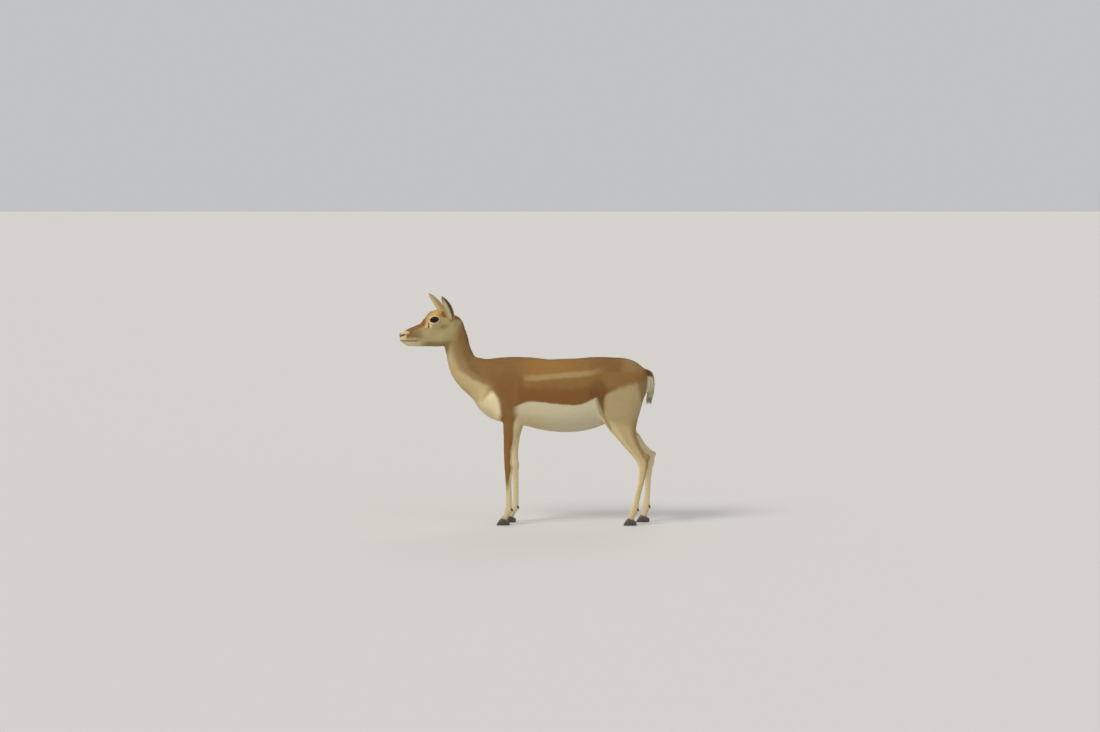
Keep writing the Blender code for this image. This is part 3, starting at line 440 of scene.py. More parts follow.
def surface(masses, low, high, step):
    """The zero surface of the field inside a box, closed at the box, as points and faces. The field is
    first read on a coarse grid, and then finely only near the surface."""
    coarse_step = COARSE * step
    sizes = [int(math.ceil((b - a) / coarse_step)) * COARSE + 1 for a, b in zip(low, high)]
    axes = [a + step * np.arange(size) for a, size in zip(low, sizes)]
    coarse_axes = [axis[::COARSE] for axis in axes]
    coarse = field(np.stack(np.meshgrid(*coarse_axes, indexing="ij"), axis=-1).reshape(-1, 3), masses)
    coarse = coarse.reshape([len(axis) for axis in coarse_axes])
    nearest = [np.minimum((np.arange(size) + COARSE // 2) // COARSE, size // COARSE) for size in sizes]
    values = coarse[np.ix_(*nearest)].astype(np.float32)
    rows = np.nonzero(np.abs(values) < 1.6 * coarse_step)
    values[rows] = field(np.column_stack([axis[row] for axis, row in zip(axes, rows)]), masses)
    for axis in range(3):
        ends = np.moveaxis(values, axis, 0)
        ends[0] = ends[-1] = FAR_AWAY
    volume = openvdb.FloatGrid(FAR_AWAY)
    volume.copyFromArray(values)
    points, quads = volume.convertToQuads(0.0)
    return points.astype(float) * step + np.array(low, float), quads[:, ::-1]


def settle(points, masses):
    """Moves points onto the zero surface along the field's slope."""
    tiny = 2e-4
    here = field(points, masses)
    steps = tiny * np.eye(3)
    slope = [field(points + step, masses) - field(points - step, masses) for step in steps]
    slope = np.column_stack(slope) / (2 * tiny)
    steep = np.maximum((slope**2).sum(axis=1), 0.25)
    shift = -(here / steep)[:, None] * slope
    far = np.linalg.norm(shift, axis=1, keepdims=True)
    return points + shift * np.minimum(1.0, 0.002 / np.maximum(far, 1e-9))


def leg(stations, side, blend):
    """A leg's stations with its distance from the middle as y on its own side."""
    return mass([(x, side * y, z, d, w) for x, z, d, w, y in stations], blend)


def heel(stations, side):
    """The heel bone behind the hock, and the cord that runs up from it."""
    x, z, _, _, y = stations[6]
    return [
        mass([(x + dx, side * y, z + dz, r, r) for dx, dz, r in HEEL_BONE], 0.010),
        mass([(x + dx, side * (y + 0.002), z + dz, r, r * 0.8) for dx, dz, r in HEEL_CORD], 0.012),
    ]


def body_masses():
    masses = [
        mass(TRUNK, 0.030, taper=-0.27, power=2.2),
        mass(NECK, 0.030, taper=-0.12),
        mass(SHOULDER, 0.030, paired=True),
        mass(UPPER_ARM, 0.025, paired=True),
        mass(BREAST, 0.030),
        mass(LOIN, 0.030, paired=True),
        mass(BUTTOCK, 0.025, paired=True),
        mass(FLANK_FOLD, 0.016, paired=True),
    ]
    masses += [leg(rows, side, LEG_BLEND[end]) for rows, side, end in LEGS]
    return masses + heel(HINDLEG_LEFT, LEFT) + heel(HINDLEG_RIGHT, RIGHT)


def head_masses():
    x, y, z = EYE
    lid = EYE_RADIUS + LID
    ball = [(x - 0.0005, y, z, lid, lid), (x + 0.0005, y, z, lid, lid)]
    middle = ((SKULL, 0.020), (NOSE, 0.008), (CROWN, 0.014), (JAW, 0.012))
    sides = ((CHEEK, 0.015), (BROW, 0.014), (TEMPLE, 0.014), (ball, 0.011))
    masses = [mass(rows, blend, space="head") for rows, blend in middle]
    return masses + [mass(rows, blend, space="head", paired=True) for rows, blend in sides]


def ear_axes(side):
    """Base and tip of an ear, and the unit ways along it, across it and out of its cup."""
    base, tip, face = (np.array(v, float) for v in EARS[side])
    along = unit(tip - base)
    across = unit(np.cross(face, along))
    return base, tip, along, across, np.cross(along, across)


def ear_masses(side):
    """The ear's outer form and its cup."""
    base, tip, along, across, face = ear_axes(side)
    outer, cup = [], []
    for t, depth, width in EAR_SECTIONS:
        bow = EAR_BOW * math.sin(math.pi * min(max(t, 0.0), 1.0))
        centre = base + (tip - base) * t - face * bow
        outer.append((*centre, depth, width))
        if 0.0 < t < 0.9:
            shrink = 0.62 if t < 0.2 else 1.0
            shift = face * (EAR_WALL / 2 + 0.003)
            cup.append((*(centre + shift), (depth + 0.0016) * shrink, (width - 0.0024) * shrink))
    return mass(outer, 0.002, across=across), mass(cup, 0.0015, across=across, carve=True)


def eye_axes():
    """For the right eye in the head's own frame: out of the eye, along the opening, and up across it."""
    look = unit(EYE_LOOK)
    up = unit(np.array([0.0, 0.0, 1.0]) - look[2] * look)
    front = np.cross(up, look)
    along = front * math.cos(LID_TILT) - up * math.sin(LID_TILT)
    rise = up * math.cos(LID_TILT) + front * math.sin(LID_TILT)
    return look, along, rise


def from_eye(points):
    look, along, rise = eye_axes()
    offset = points - np.array(EYE)
    return offset @ along, offset @ rise, offset @ look


def lid_arc(height):
    """The radius of the arc that spans the opening and rises by this height."""
    return (height + LID_HALF_WIDTH**2 / height) / 2


def lids_distance(points):
    """How far each point is outside the opening between the lids, seen along the eye's axis."""
    a, b, _ = from_eye(points)
    upper, lower = lid_arc(LID_RISE), lid_arc(LID_DROP)
    top = np.hypot(a, b + upper - LID_RISE) - upper
    bottom = np.hypot(a, b - lower + LID_DROP) - lower
    return np.maximum(top, bottom)


def eye_reach(points):
    return np.linalg.norm(points - np.array(EYE), axis=1)


def opening(points):
    return np.maximum(lids_distance(points), 0.004 - from_eye(points)[2])


def socket(points):
    return eye_reach(points) - EYE_RADIUS - 0.0004


def lid_ring(points, away, over, thick, front):
    """A ring on the lids, at a distance from their opening and at a height over the eyeball."""
    return np.hypot(lids_distance(points) - away, eye_reach(points) - EYE_RADIUS - over) - thick + front


def lid_rim(points):
    return lid_ring(points, 0.0012, 0.0016, 0.0016, np.where(from_eye(points)[2] > 0, 0.0, 0.05))


def lid_crease(points):
    _, b, n = from_eye(points)
    away = np.where(b > -0.002, 0.0052, 0.0042)
    return lid_ring(points, away, LID + 0.0008, 0.0011, np.where(n > 0, 0.0, 0.05))


def round_eye(measure, blend, carve=True):
    """A form of the head, on both sides, from its distance function round the eye."""
    centre = np.array(EYE)
    return form(measure, centre - 0.032, centre + 0.032, blend, carve, "head", True)


def mouth():
    """The slit between the lips, only as deep as the lips are thick."""
    slit = mass(MOUTH_LINE, 0.003, space="head", carve=True)
    core = mass(MOUTH_CORE, 0.003, space="head")
    measure = lambda points: np.maximum(mass_distance(points, slit), -mass_distance(points, core))
    return {**slit, "measure": measure, "box": reach_of(slit)}


def fine_head_masses():
    pairs = [mass(rows, 0.007, space="head", paired=True) for rows in (UPPER_LIP, LOWER_LIP, NOSTRIL_RIM)]
    ears = [ear_masses(side) for side in (LEFT, RIGHT)]
    masses = head_masses() + pairs
    masses += [mass(NOSE_PAD, 0.004, space="head"), mass(CHIN_PAD, 0.006, space="head")]
    masses.append(mass(CHEEK_BONE, 0.010, space="head", paired=True))
    masses += [{**outer, "blend": 0.010} for outer, _ in ears]
    masses += [cup for _, cup in ears]
    masses.append(mouth())
    for rows in (NOSTRIL_HOLE, TEAR_FOLD):
        masses.append(mass(rows, 0.0015, space="head", carve=True, paired=True))
    masses += [round_eye(lid_crease, 0.0020), round_eye(lid_rim, 0.0015, carve=False)]
    return masses + [round_eye(socket, 0.0004), round_eye(opening, 0.0008)]


def cut_to(points, faces, keep_above):
    """The part of a mesh on one side of the join between neck and head, open there."""
    shape = bpy.data.meshes.new("cut")
    shape.from_pydata(points.tolist(), [], faces.tolist())
    edit = bmesh.new()
    edit.from_mesh(shape)
    normal = Vector(unit(JOIN_PLANE[1])) * (1 if keep_above else -1)
    point = Vector(JOIN_PLANE[0]) + normal * JOIN_GAP / 2
    bmesh.ops.bisect_plane(
        edit,
        geom=[*edit.verts, *edit.edges, *edit.faces],
        dist=1e-5,
        plane_co=point,
        plane_no=normal,
        clear_inner=True,
    )
    edit.to_mesh(shape)
    edit.free()
    return shape


def foot_cuts():
    """What each leg's skin leaves to its hoof: everything under the coronet."""
    cuts = []
    for rows, side, _ in LEGS:
        point = np.array([rows[-1][0], side * rows[-1][4], CORONET])
        low, high = point - (0.05, 0.03, 0.06), point + (0.05, 0.03, 0.03)
        cuts.append(half_space(point, unit(CORONET_SLOPE), low, high, 0.002))
    return cuts


def places_of(shape):
    places = np.empty(len(shape.vertices) * 3)
    shape.vertices.foreach_get("co", places)
    return places.reshape(-1, 3)


def edges_of(shape):
    ends = np.empty(len(shape.edges) * 2, int)
    shape.edges.foreach_get("vertices", ends)
    return ends.reshape(-1, 2)


def triangles_of(shape):
    shape.calc_loop_triangles()
    corners = np.empty(len(shape.loop_triangles) * 3, int)
    shape.loop_triangles.foreach_get("vertices", corners)
    return corners.reshape(-1, 3)


def make_skin_mesh():
    """Body and head, each read on its own grid and bridged at the neck, then refined where it is thin."""
    masses = body_masses() + head_masses() + [mass(TAIL, 0.012)] + foot_cuts()
    body = surface(masses, *BODY_BOX, BODY_GRID)
    head = surface(masses[1:2] + fine_head_masses(), *HEAD_BOX, HEAD_GRID)
    edit = bmesh.new()
    for shape in (cut_to(*body, True), cut_to(*head, False)):
        edit.from_mesh(shape)
    bmesh.ops.bridge_loops(edit, edges=[e for e in edit.edges if e.is_boundary])
    bmesh.ops.recalc_face_normals(edit, faces=edit.faces)
    thin = [e for e in edit.edges if all(v.co.z < LEG_TOP or v.co.x > TAIL_FROM for v in e.verts)]
    bmesh.ops.subdivide_edges(edit, edges=thin, cuts=1, use_grid_fill=True)
    shape = bpy.data.meshes.new("skin")
    edit.to_mesh(shape)
    edit.free()
    points = places_of(shape)
    thin = (points[:, 2] < LEG_TOP) | (points[:, 0] > TAIL_FROM)
    points[thin] = settle(points[thin], masses)
    return shape, points


def smoothed(points, ends, rounds, strength):
    """Smoothing towards the neighbours' mean and back, which keeps the volume, at each point's strength."""
    count = np.bincount(ends.ravel(), minlength=len(points))[:, None]
    for _ in range(rounds):
        for step in (0.5, -0.52):
            total = np.zeros_like(points)
            for axis in range(3):
                total[:, axis] = np.bincount(ends[:, 0], points[ends[:, 1], axis], len(points))
                total[:, axis] += np.bincount(ends[:, 1], points[ends[:, 0], axis], len(points))
            points = points + (total / count - points) * step * strength[:, None]
    return points


def normals_of(points, corners):
    a, b, c = (points[corners[:, i]] for i in range(3))
    across = np.cross(b - a, c - a)
    total = np.zeros_like(points)
    for axis in range(3):
        for i in range(3):
            total[:, axis] += np.bincount(corners[:, i], across[:, axis], len(points))
    return total / np.maximum(np.linalg.norm(total, axis=1, keepdims=True), 1e-12)


def soft(value, start, end):
    """0 before start, 1 after end, smooth between; start may be above end."""
    t = np.clip((value - start) / (end - start), 0.0, 1.0)
    return t * t * (3.0 - 2.0 * t)


def soft_line(value, start, end):
    return np.clip((value - start) / (end - start), 0.0, 1.0)


def head_share(points):
    """1 on the head, ears included, and 0 on the neck."""
    along = (points - np.array(HEAD_PLANE[0])) @ unit(HEAD_PLANE[1])
    return soft(along, 0.030, -0.020)


def ear_share(points):
    """1 on the ears, 0 elsewhere."""
    best = np.full(len(points), FAR_AWAY)
    for side in (LEFT, RIGHT):
        outer = ear_masses(side)[0]
        near = in_reach(points, outer)
        best[near] = np.minimum(best[near], mass_distance(points[near], outer))
    return soft(best, 0.006, 0.0015) * soft(points[:, 2], 0.925, 0.945)


def eye_gap(points):
    """Distance to the nearer eyeball's surface."""
    return eye_reach(one_side(to_head(points))) - EYE_RADIUS


def coat_depth(points):
    """How far the skin lies under the coat's outer surface."""
    own = to_head(points)
    depth = np.full(len(points), 0.0035)
    leg_depth = np.interp(points[:, 2], [0.03, 0.25, 0.45, 0.56], [0.0010, 0.0013, 0.0026, 0.0035])
    depth = np.minimum(depth, leg_depth)
    face = np.interp(own[:, 0], [-0.58, -0.53, -0.45, -0.36], [0.0002, 0.0006, 0.0012, 0.0020])
    depth = depth + (face - depth) * head_share(points)
    depth *= 1.0 - ear_share(points) * 0.85
    return depth * soft(eye_gap(points), 0.004, 0.014)


def linear(red, green, blue):
    """A colour given as 0 to 255 for each channel, as the shader reads it."""
    value = np.array([red, green, blue]) / 255.0
    return np.where(value <= 0.04045, value / 12.92, ((value + 0.055) / 1.055) ** 2.4)


def blended(out, colours, share):
    return out + (colours - out) * share[:, None]


def tint(out, colour, share):
    return blended(out, linear(*colour), np.clip(share, 0.0, 1.0))


def plain(points, colour):
    """The same colour at each point."""
    return np.tile(linear(*colour), (len(points), 1))


def layered(out, *layers):
    """The colours tinted with each (colour, share) in turn."""
    for colour, share in layers:
        out = tint(out, colour, share)
    return out


def spot(a, b, middle, radii):
    """1 inside a soft ellipse, 0 outside."""
    return soft(np.hypot((a - middle[0]) / radii[0], (b - middle[1]) / radii[1]), 1.25, 0.65)


def near_line(a, b, line, half_width):
    """1 on a line of (a, b) points, 0 away from it."""
    best = np.full(len(a), 1.0)
    for (a0, b0), (a1, b1) in zip(line[:-1], line[1:]):
        length = (a1 - a0) ** 2 + (b1 - b0) ** 2
        t = np.clip(((a - a0) * (a1 - a0) + (b - b0) * (b1 - b0)) / length, 0.0, 1.0)
        best = np.minimum(best, np.hypot(a - a0 - t * (a1 - a0), b - b0 - t * (b1 - b0)))
    return soft(best, half_width * 1.5, half_width * 0.5)


def near_form(own, rows, half_width):
    """near_line for a form of the head, in the side view."""
    return near_line(own[:, 0], own[:, 2], [(row[0], row[2]) for row in rows], half_width)


def leg_place(points, left, right):
    """How far forward (-1) or back (1), and outward (1) or inward (-1), a point is on its leg."""
    x, y, z = points.T
    fore, outer = np.zeros(len(points)), np.zeros(len(points))
    for rows, mine in ((left, y < 0), (right, y >= 0)):
        rows = np.array(rows)[::-1]
        centre, depth, width, apart = (np.interp(z[mine], rows[:, 1], rows[:, i]) for i in (0, 2, 3, 4))
        fore[mine] = (x[mine] - centre) / depth
        outer[mine] = (np.abs(y[mine]) - apart) / width
    return fore, outer


def ripple(points, scale, seed):
    """Slow waves over the body, so that no edge is a plain curve."""
    x, y, z = points.T
    return (
        np.sin(scale * (x + 0.6 * z) + seed)
        + np.sin(scale * 1.7 * (z - 0.4 * x) + 2.3 * seed + 4.0 * y)
        + np.sin(scale * 2.9 * (x + 0.3 * y) + 5.1 * seed)
    ) / 3.0


def body_markings(points):
    x, y, z = points.T
    side = np.abs(y)
    wave = ripple(points, 45.0, 1.0)
    out = layered(
        plain(points, BACK),
        (BACK_REAR, soft(x, 0.12, 0.40)),
        (RUMP, soft(x, 0.405, 0.455)),
        (WITHERS, soft(x, 0.06, -0.08)),
        (SPINE, soft(side, 0.030, 0.008) * soft(z, 0.70, 0.74) * 0.5),
    )
    # The flank's band, richest along its lower edge and before the thigh, with the pale stripe over it.
    flank = np.interp(x, STRIPE_X, STRIPE_Z)
    stripe = soft(np.abs(z + 0.003 * wave - flank), 0.019, 0.004) * soft(x, -0.06, 0.04)
    out = layered(
        out,
        (FLANK_UPPER, soft(z + 0.004 * wave, flank - 0.004, flank - 0.020) * soft(x, -0.05, 0.03)),
        (FLANK, soft(z + 0.008 * wave, 0.645, 0.612) * soft(x, -0.09, 0.0)),
        (FLANK_DARK, spot(x, z, (0.318, 0.612), (0.040, 0.060)) * 0.55),
        (STRIPE, stripe * soft(x, 0.38, 0.24) * 0.80),
    )
    # The shoulder, the rump and the thigh.
    brown = soft(x + 0.006 * wave, -0.010, -0.065) * soft(z, 0.74, 0.66) * soft(x, -0.21, -0.14)
    edge = np.interp(x, THIGH_X, THIGH_Z)
    thigh = soft(z + 0.005 * wave, edge + 0.008, edge - 0.022) * soft(x, 0.338, 0.356)
    rear = soft(x + 0.25 * (z - 0.60), 0.500, 0.522) * soft(z, 0.45, 0.50) * soft(z, 0.70, 0.66)
    out = layered(
        out,
        (SHOULDER_BROWN, brown),
        # Painted shade in a band down behind the shoulder.
        (SHOULDER_SHADE, near_line(x, z, SHOULDER_LINE, 0.014) * 0.35),
        (THIGH, thigh),
        (THIGH_BACK, rear * 0.7),
        # Painted shade in the crease across the thigh.
        (CREASE_SHADE, spot(x, z, (0.435, 0.467), (0.045, 0.010)) * 0.25),
    )
    # The neck: t is 0 along its middle and 1 at its upper edge.
    t = (x - np.interp(z, NECK_Z, NECK_X)) / 0.060
    on_neck = soft(x + 0.62 * (z - 0.70) + 0.010 * wave, -0.160, -0.275)
    out = layered(
        out,
        (NECK_SIDE, on_neck),
        (NECK_TOP, on_neck * soft(t + 0.06 * wave, 0.0, 0.68)),
        (THROAT, on_neck * soft(t + 0.06 * wave, -0.10, -0.95)),
    )
    # White underneath: chest, belly and between the legs. The belly's white is painted a little darker than
    # the chest's: painted shade on a white underside.
    belly = np.interp(x, BELLY_X, BELLY_Z)
    white = soft(z + 0.0025 * wave, belly + 0.003, belly - 0.004) * soft(x, -0.070, -0.030)
    white *= soft(x - 0.40 * (0.575 - z), 0.322, 0.312)
    inner = soft(z, 0.535, 0.500) * soft(side, 0.050, 0.035) * soft(x, -0.13, -0.05)
    rear, top = np.interp(z, CHEST_Z, CHEST_X), np.interp(x, CHEST_TOP_X, CHEST_TOP_Z)
    chest = soft(x + 0.004 * wave, rear + 0.010, rear - 0.008)
    chest *= soft(z + 0.005 * wave, top + 0.012, top - 0.014)
    # Less white at the chest's front edge, which keeps part of the neck's colour: painted shade.
    chest *= 1.0 - 0.45 * soft(x, -0.192, -0.210) * soft(z, 0.50, 0.53)
    chest = np.maximum(chest, soft(side, 0.052, 0.036) * soft(z, 0.545, 0.520) * soft(x, 0.05, 0.0))
    out = layered(
        out,
        (CHEST, chest),
        (BELLY_WHITE_SHADED, np.maximum(white, inner)),
        # Painted shade along the fold between the flank and the thigh.
        (FOLD_SHADE, near_line(x, z, FOLD, 0.0060) * soft(side, 0.055, 0.075) * 0.55),
    )
    # White round the root of the tail, and down between the thighs.
    edge, half = np.interp(z, REAR_Z, REAR_X), np.interp(z, REAR_Z, REAR_HALF)
    behind = soft(x, edge - 0.030, edge - 0.008) * soft(z + 12.0 * side**2 + 0.004 * wave, 0.702, 0.680)
    return layered(
        out,
        (TAIL_ROOT, spot(x, z, (0.530, 0.692), (0.034, 0.018)) * soft(side, 0.065, 0.030) * 0.7),
        (BUTTOCK_WHITE, behind * soft(side + 0.007 * wave, half + 0.012, half - 0.008)),
    )


def leg_markings(points, out):
    x, y, z = points.T
    wave = ripple(points, 60.0, 2.0)
    fore, outer = leg_place(points, FORELEG_LEFT, FORELEG_RIGHT)
    front_leg = soft(x, 0.10, 0.05) * soft(z, 0.52, 0.485)
    front_leg *= np.maximum(soft(fore, -1.5, -1.1), soft(z, 0.46, 0.44))
    limit, edge = np.interp(z, BROWN_Z, BROWN_LIMIT), np.interp(z, BROWN_BACK_Z, BROWN_BACK_X)
    brown = soft(0.80 * outer - 0.50 * fore + 0.10 * wave, limit, limit + 0.35) * soft(z, 0.135, 0.215)
    brown *= np.where(y < 0, soft(x + 0.002 * wave, edge + 0.007, edge - 0.004), 1.0)
    colour = layered(
        plain(points, LEG_PALE),
        (LEG_LOW, soft(z, 0.30, 0.12)),
        (LEG_INNER, soft(outer, 0.0, -0.5) * 0.6),
        (FORELEG_BROWN, brown),
        (KNEE, brown * spot(fore, z, (-0.6, 0.235), (0.8, 0.03)) * 0.5),
    )
    out = blended(out, colour, front_leg)
    fore, outer = leg_place(points, HINDLEG_LEFT, HINDLEG_RIGHT)
    rear = soft(fore + 0.10 * wave, 0.25, 0.85) * soft(outer, -0.6, 0.0) * soft(z, 0.10, 0.30)
    colour = layered(
        plain(points, GASKIN),
        (HIND_LOW, soft(z, 0.34, 0.22)),
        (HIND_BACK, rear * 0.75),
        # Painted highlight down the front edge of the hind leg.
        (HIND_RIM_LIGHT, soft(fore, -0.30, -0.80) * 0.7),
        (LEG_INNER, soft(outer, 0.0, -0.5) * 0.7),
        # Painted shade along the same fold, on the thigh's outer side.
        (FOLD_SHADE, near_line(x, z, FOLD, 0.0060) * soft(outer, 0.0, 0.4) * 0.5),
    )
    out = blended(out, colour, soft(x, 0.30, 0.345) * soft(z, 0.50, 0.44))
    # The feet are a little darker.
    return tint(out, FOOT, soft(z, 0.060, 0.030) * 0.45)


def tail_markings(points, out):
    """White at the sides, pale fawn along the upper side and darker towards the end."""
    x, y, z = points.T
    hanging = soft(x, 0.540, 0.548) * soft(z, 0.500, 0.520)
    root = soft(x, 0.528, 0.536) * soft(z, 0.668, 0.676)
    on_tail = np.maximum(hanging, root) * soft(np.abs(y), 0.034, 0.025)
    line, width = np.interp(z, TAIL_LINE_Z, TAIL_LINE_X), np.interp(z, TAIL_WIDTH_Z, TAIL_WIDTH)
    top = soft(x - line, -0.002, 0.005) * soft(np.abs(y), width * 0.85, width * 0.55)
    colour = layered(
        plain(points, TAIL_WHITE),
        (TAIL_TOP, top),
        (TAIL_DARK, top * soft(z, 0.655, 0.600) * 0.8),
        (TAIL_DARK, soft(z, 0.590, 0.560) * 0.7),
        (TAIL_ROOT, soft(z, 0.664, 0.682)),
    )
    return blended(out, colour, on_tail)


def head_markings(points, out):
    own = to_head(points)
    mirrored = one_side(own)
    x, y, z = mirrored.T
    wave = ripple(own, 90.0, 3.0)
    # The face: grey-fawn side of the nose, brown bridge that runs down behind the nostril, golden forehead.
    bridge = np.interp(x, BRIDGE_X, BRIDGE_Z)
    side_of_nose = soft(z + 0.003 * wave, 0.846, 0.856) * soft(z, bridge + 0.006, bridge - 0.006)
    top = soft(z, 0.936, 0.950) * soft(x, -0.475, -0.450)
    middle = soft(y, 0.030, 0.018) * soft(x, -0.475, -0.450) * soft(z, 0.92, 0.93)
    behind_brow = spot(x + 0.002 * wave, z, (-0.381, 0.957), (0.015, 0.016)) * soft(y, 0.010, 0.020)
    colour = layered(
        plain(points, CHEEK_PALE),
        (CHEEK_BACK, soft(x, -0.41, -0.37)),
        (JAW_LINE, soft(z + 0.002 * wave, 0.842, 0.826) * soft(x, -0.52, -0.46)),
        (NOSE_SIDE, side_of_nose * soft(x, -0.465, -0.510) * 0.85),
        (BRIDGE, soft(z + 0.002 * wave, bridge - 0.006, bridge + 0.005) * soft(x, -0.435, -0.452)),
        (FOREHEAD, np.maximum(top, middle)),
        (CHESTNUT, spot(x, z, (-0.446, 0.958), (0.014, 0.010)) * 0.30),
        (CHESTNUT, behind_brow * 0.9),
        (SMUDGE, spot(x, z, (-0.385, 0.902), (0.022, 0.011)) * soft(y, 0.015, 0.025) * 0.5),
        (NECK_TOP, soft(x, -0.365, -0.340) * soft(z, 0.925, 0.940)),
        (GOLD, near_line(x, z, BROW_LINE, 0.0065) * soft(y, 0.015, 0.025) * 0.7),
    )
    # The pale ring and dark rim of the eye, and the slit before it.
    facing = soft(y, 0.020, 0.030)
    away = lids_distance(mirrored)
    ring = soft(away + 0.001 * wave, 0.0120, 0.0075) * facing
    colour = layered(
        colour,
        (EYE_RING, ring * (0.62 + 0.33 * soft(x, -0.410, -0.440))),
        (EYE_RIM, soft(away, 0.0044, 0.0028) * facing),
        (EYE_RING, near_line(x, z, SLIT_FRONT, 0.0050) * facing * 0.6),
        (SLIT, near_line(x, z, SLIT_LINE, 0.0026) * facing * 0.8),
    )
    # The muzzle: pale lips and chin, a painted highlight over the nostril, painted shade in the nostril,
    # dark nose and mouth line.
    pad = soft(np.hypot((x + 0.578) / 0.010, (z - 0.8635) / 0.0095), 1.2, 0.7) * soft(y, 0.0090, 0.0055)
    colour = layered(
        colour,
        (LIP_PALE_AND_HIGHLIGHT, soft(x + 0.002 * wave, -0.549, -0.558) * 0.92),
        (LIP_PALE_AND_HIGHLIGHT, soft(z, 0.846, 0.838) * soft(x, -0.49, -0.53) * 0.5),
        (CHIN, soft(z, 0.837, 0.828) * soft(x, -0.46, -0.52) * 0.8),
        # Painted highlight over the nostril.
        (LIP_PALE_AND_HIGHLIGHT, spot(x, z, (-0.556, 0.876), (0.017, 0.008)) * 0.85),
        (NOSE_AND_NOSTRIL_SHADE, pad * 0.9),
        # Painted shade in the nostril.
        (NOSE_AND_NOSTRIL_SHADE, near_form(own, NOSTRIL_HOLE, 0.0028) * soft(x, -0.550, -0.556)),
        (LIP_DARK, near_form(own, MOUTH_LINE, 0.0012) * soft(x, -0.500, -0.510)),
    )
    return blended(out, colour, head_share(points))


def ear_place(points, side):
    """Where points are on an ear: the share of its length, the way to its front edge (-1) or rear edge (1),
    the distance from its outer form, and 1 where they are on it."""
    base, tip, along, across, _ = ear_axes(side)
    offset = points - base
    t, u = offset @ along / np.linalg.norm(tip - base), offset @ across * np.sign(across[0])
    rows = np.array(EAR_SECTIONS)
    half = np.interp(t, rows[:, 0], rows[:, 2])
    wall = np.full(len(points), FAR_AWAY)
    near = (t > -0.2) & (t < 1.3) & (np.linalg.norm(offset, axis=1) < 0.16)
    wall[near] = mass_distance(points[near], ear_masses(side)[0])
    return t, u / half, wall, soft(t, 0.04, 0.14) * soft(wall, 0.0045, 0.0020)


def ear_markings(points, out):
    """Fawn outside; painted shade inside the cup, with pale hair before it; a pale front edge and a darker
    rear one.
    """
    for side in (LEFT, RIGHT):
        t, edge, wall, mine = ear_place(points, side)
        inside = soft(wall, -0.0008, -0.0020)
        colour = layered(
            plain(points, EAR_BACK),
            (EAR_TIP, soft(t, 0.80, 1.0) * 0.25),
            (EAR_REAR, soft(edge, 0.55, 0.95) * soft(t, 0.20, 0.45) * 0.8),
            (EAR_EDGE, soft(edge, -0.45, -0.85) * 0.9),
            # Painted shade inside the cup.
            (EAR_CUP_SHADE, inside),
            (EAR_HAIR, inside * soft(edge, 0.10, -0.40) * soft(t, 1.0, 0.7)),
        )
        out = blended(out, colour, mine)
    return out


def markings(points):
    """The coat's colour at points of its surface."""
    out = body_markings(points)
    for part_markings in (leg_markings, tail_markings, head_markings, ear_markings):
        out = part_markings(points, out)
    return out


def new_material(name, roughness, specular=0.5):
    made = bpy.data.materials.new(name)
    made.use_nodes = True
    shader = made.node_tree.nodes["Principled BSDF"]
    shader.inputs["Roughness"].default_value = roughness
    shader.inputs["Specular IOR Level"].default_value = specular
    return made, made.node_tree.nodes, made.node_tree.links, shader


def new_node(nodes, kind, inputs):
    """A shader node, and the values of its inputs."""
    made = nodes.new(kind)
    for name, value in inputs.items():
        made.inputs[name].default_value = value
    return made


def noise(nodes, links, scale, stretch=(1.0, 1.0, 1.0), detail=3.0):
    """Noise over the object's own coordinates."""
    where = nodes.new("ShaderNodeTexCoord")
    shape = new_node(nodes, "ShaderNodeMapping", {"Scale": stretch})
    made = new_node(nodes, "ShaderNodeTexNoise", {"Scale": scale, "Detail": detail})
    links.new(where.outputs["Object"], shape.inputs["Vector"])
    links.new(shape.outputs["Vector"], made.inputs["Vector"])
    return made


def varied(nodes, links, colour, source, low, high):
    """The colour times a factor that the noise moves between low and high."""
    reach = {"From Min": 0.3, "From Max": 0.7, "To Min": low, "To Max": high}
    scale = new_node(nodes, "ShaderNodeMapRange", reach)
    links.new(source.outputs["Fac"], scale.inputs["Value"])
    mix = nodes.new("ShaderNodeMix")
    mix.data_type = "RGBA"
    mix.blend_type = "MULTIPLY"
    mix.inputs["Factor"].default_value = 1.0
    links.new(colour, mix.inputs["A"])
    links.new(scale.outputs["Result"], mix.inputs["B"])
    return mix.outputs["Result"]


def add_bump(nodes, links, shader, source, distance, strength=0.6):
    bump = new_node(nodes, "ShaderNodeBump", {"Distance": distance, "Strength": strength})
    links.new(source.outputs["Fac"], bump.inputs["Height"])
    links.new(bump.outputs["Normal"], shader.inputs["Normal"])


def painted(name, roughness, specular, grain, bump, spread=(0.88, 1.10)):
    """A material that takes its colour from the mesh's own colours, with noise and bump over it."""
    made, nodes, links, shader = new_material(name, roughness, specular)
    colour = nodes.new("ShaderNodeAttribute")
    colour.attribute_name = "coat"
    fine = noise(nodes, links, grain)
    links.new(varied(nodes, links, colour.outputs["Color"], fine, *spread), shader.inputs["Base Color"])
    add_bump(nodes, links, shader, fine, bump)
    return made


def horn_material():
    """Dark horn, streaked down the hoof with paler, worn horn."""
    made, nodes, links, shader = new_material("horn", 0.42, 0.5)
    streaks = noise(nodes, links, 60.0, (6.0, 6.0, 1.0), 5.0)
    ramp = nodes.new("ShaderNodeValToRGB")
    for stop, place_on_ramp, colour in zip(ramp.color_ramp.elements, (0.30, 0.75), (HORN_DARK, HORN_WORN)):
        stop.position = place_on_ramp
        stop.color = colour
    links.new(streaks.outputs["Fac"], ramp.inputs["Fac"])
    links.new(ramp.outputs["Color"], shader.inputs["Base Color"])
    add_bump(nodes, links, shader, streaks, 0.0006)
    return made


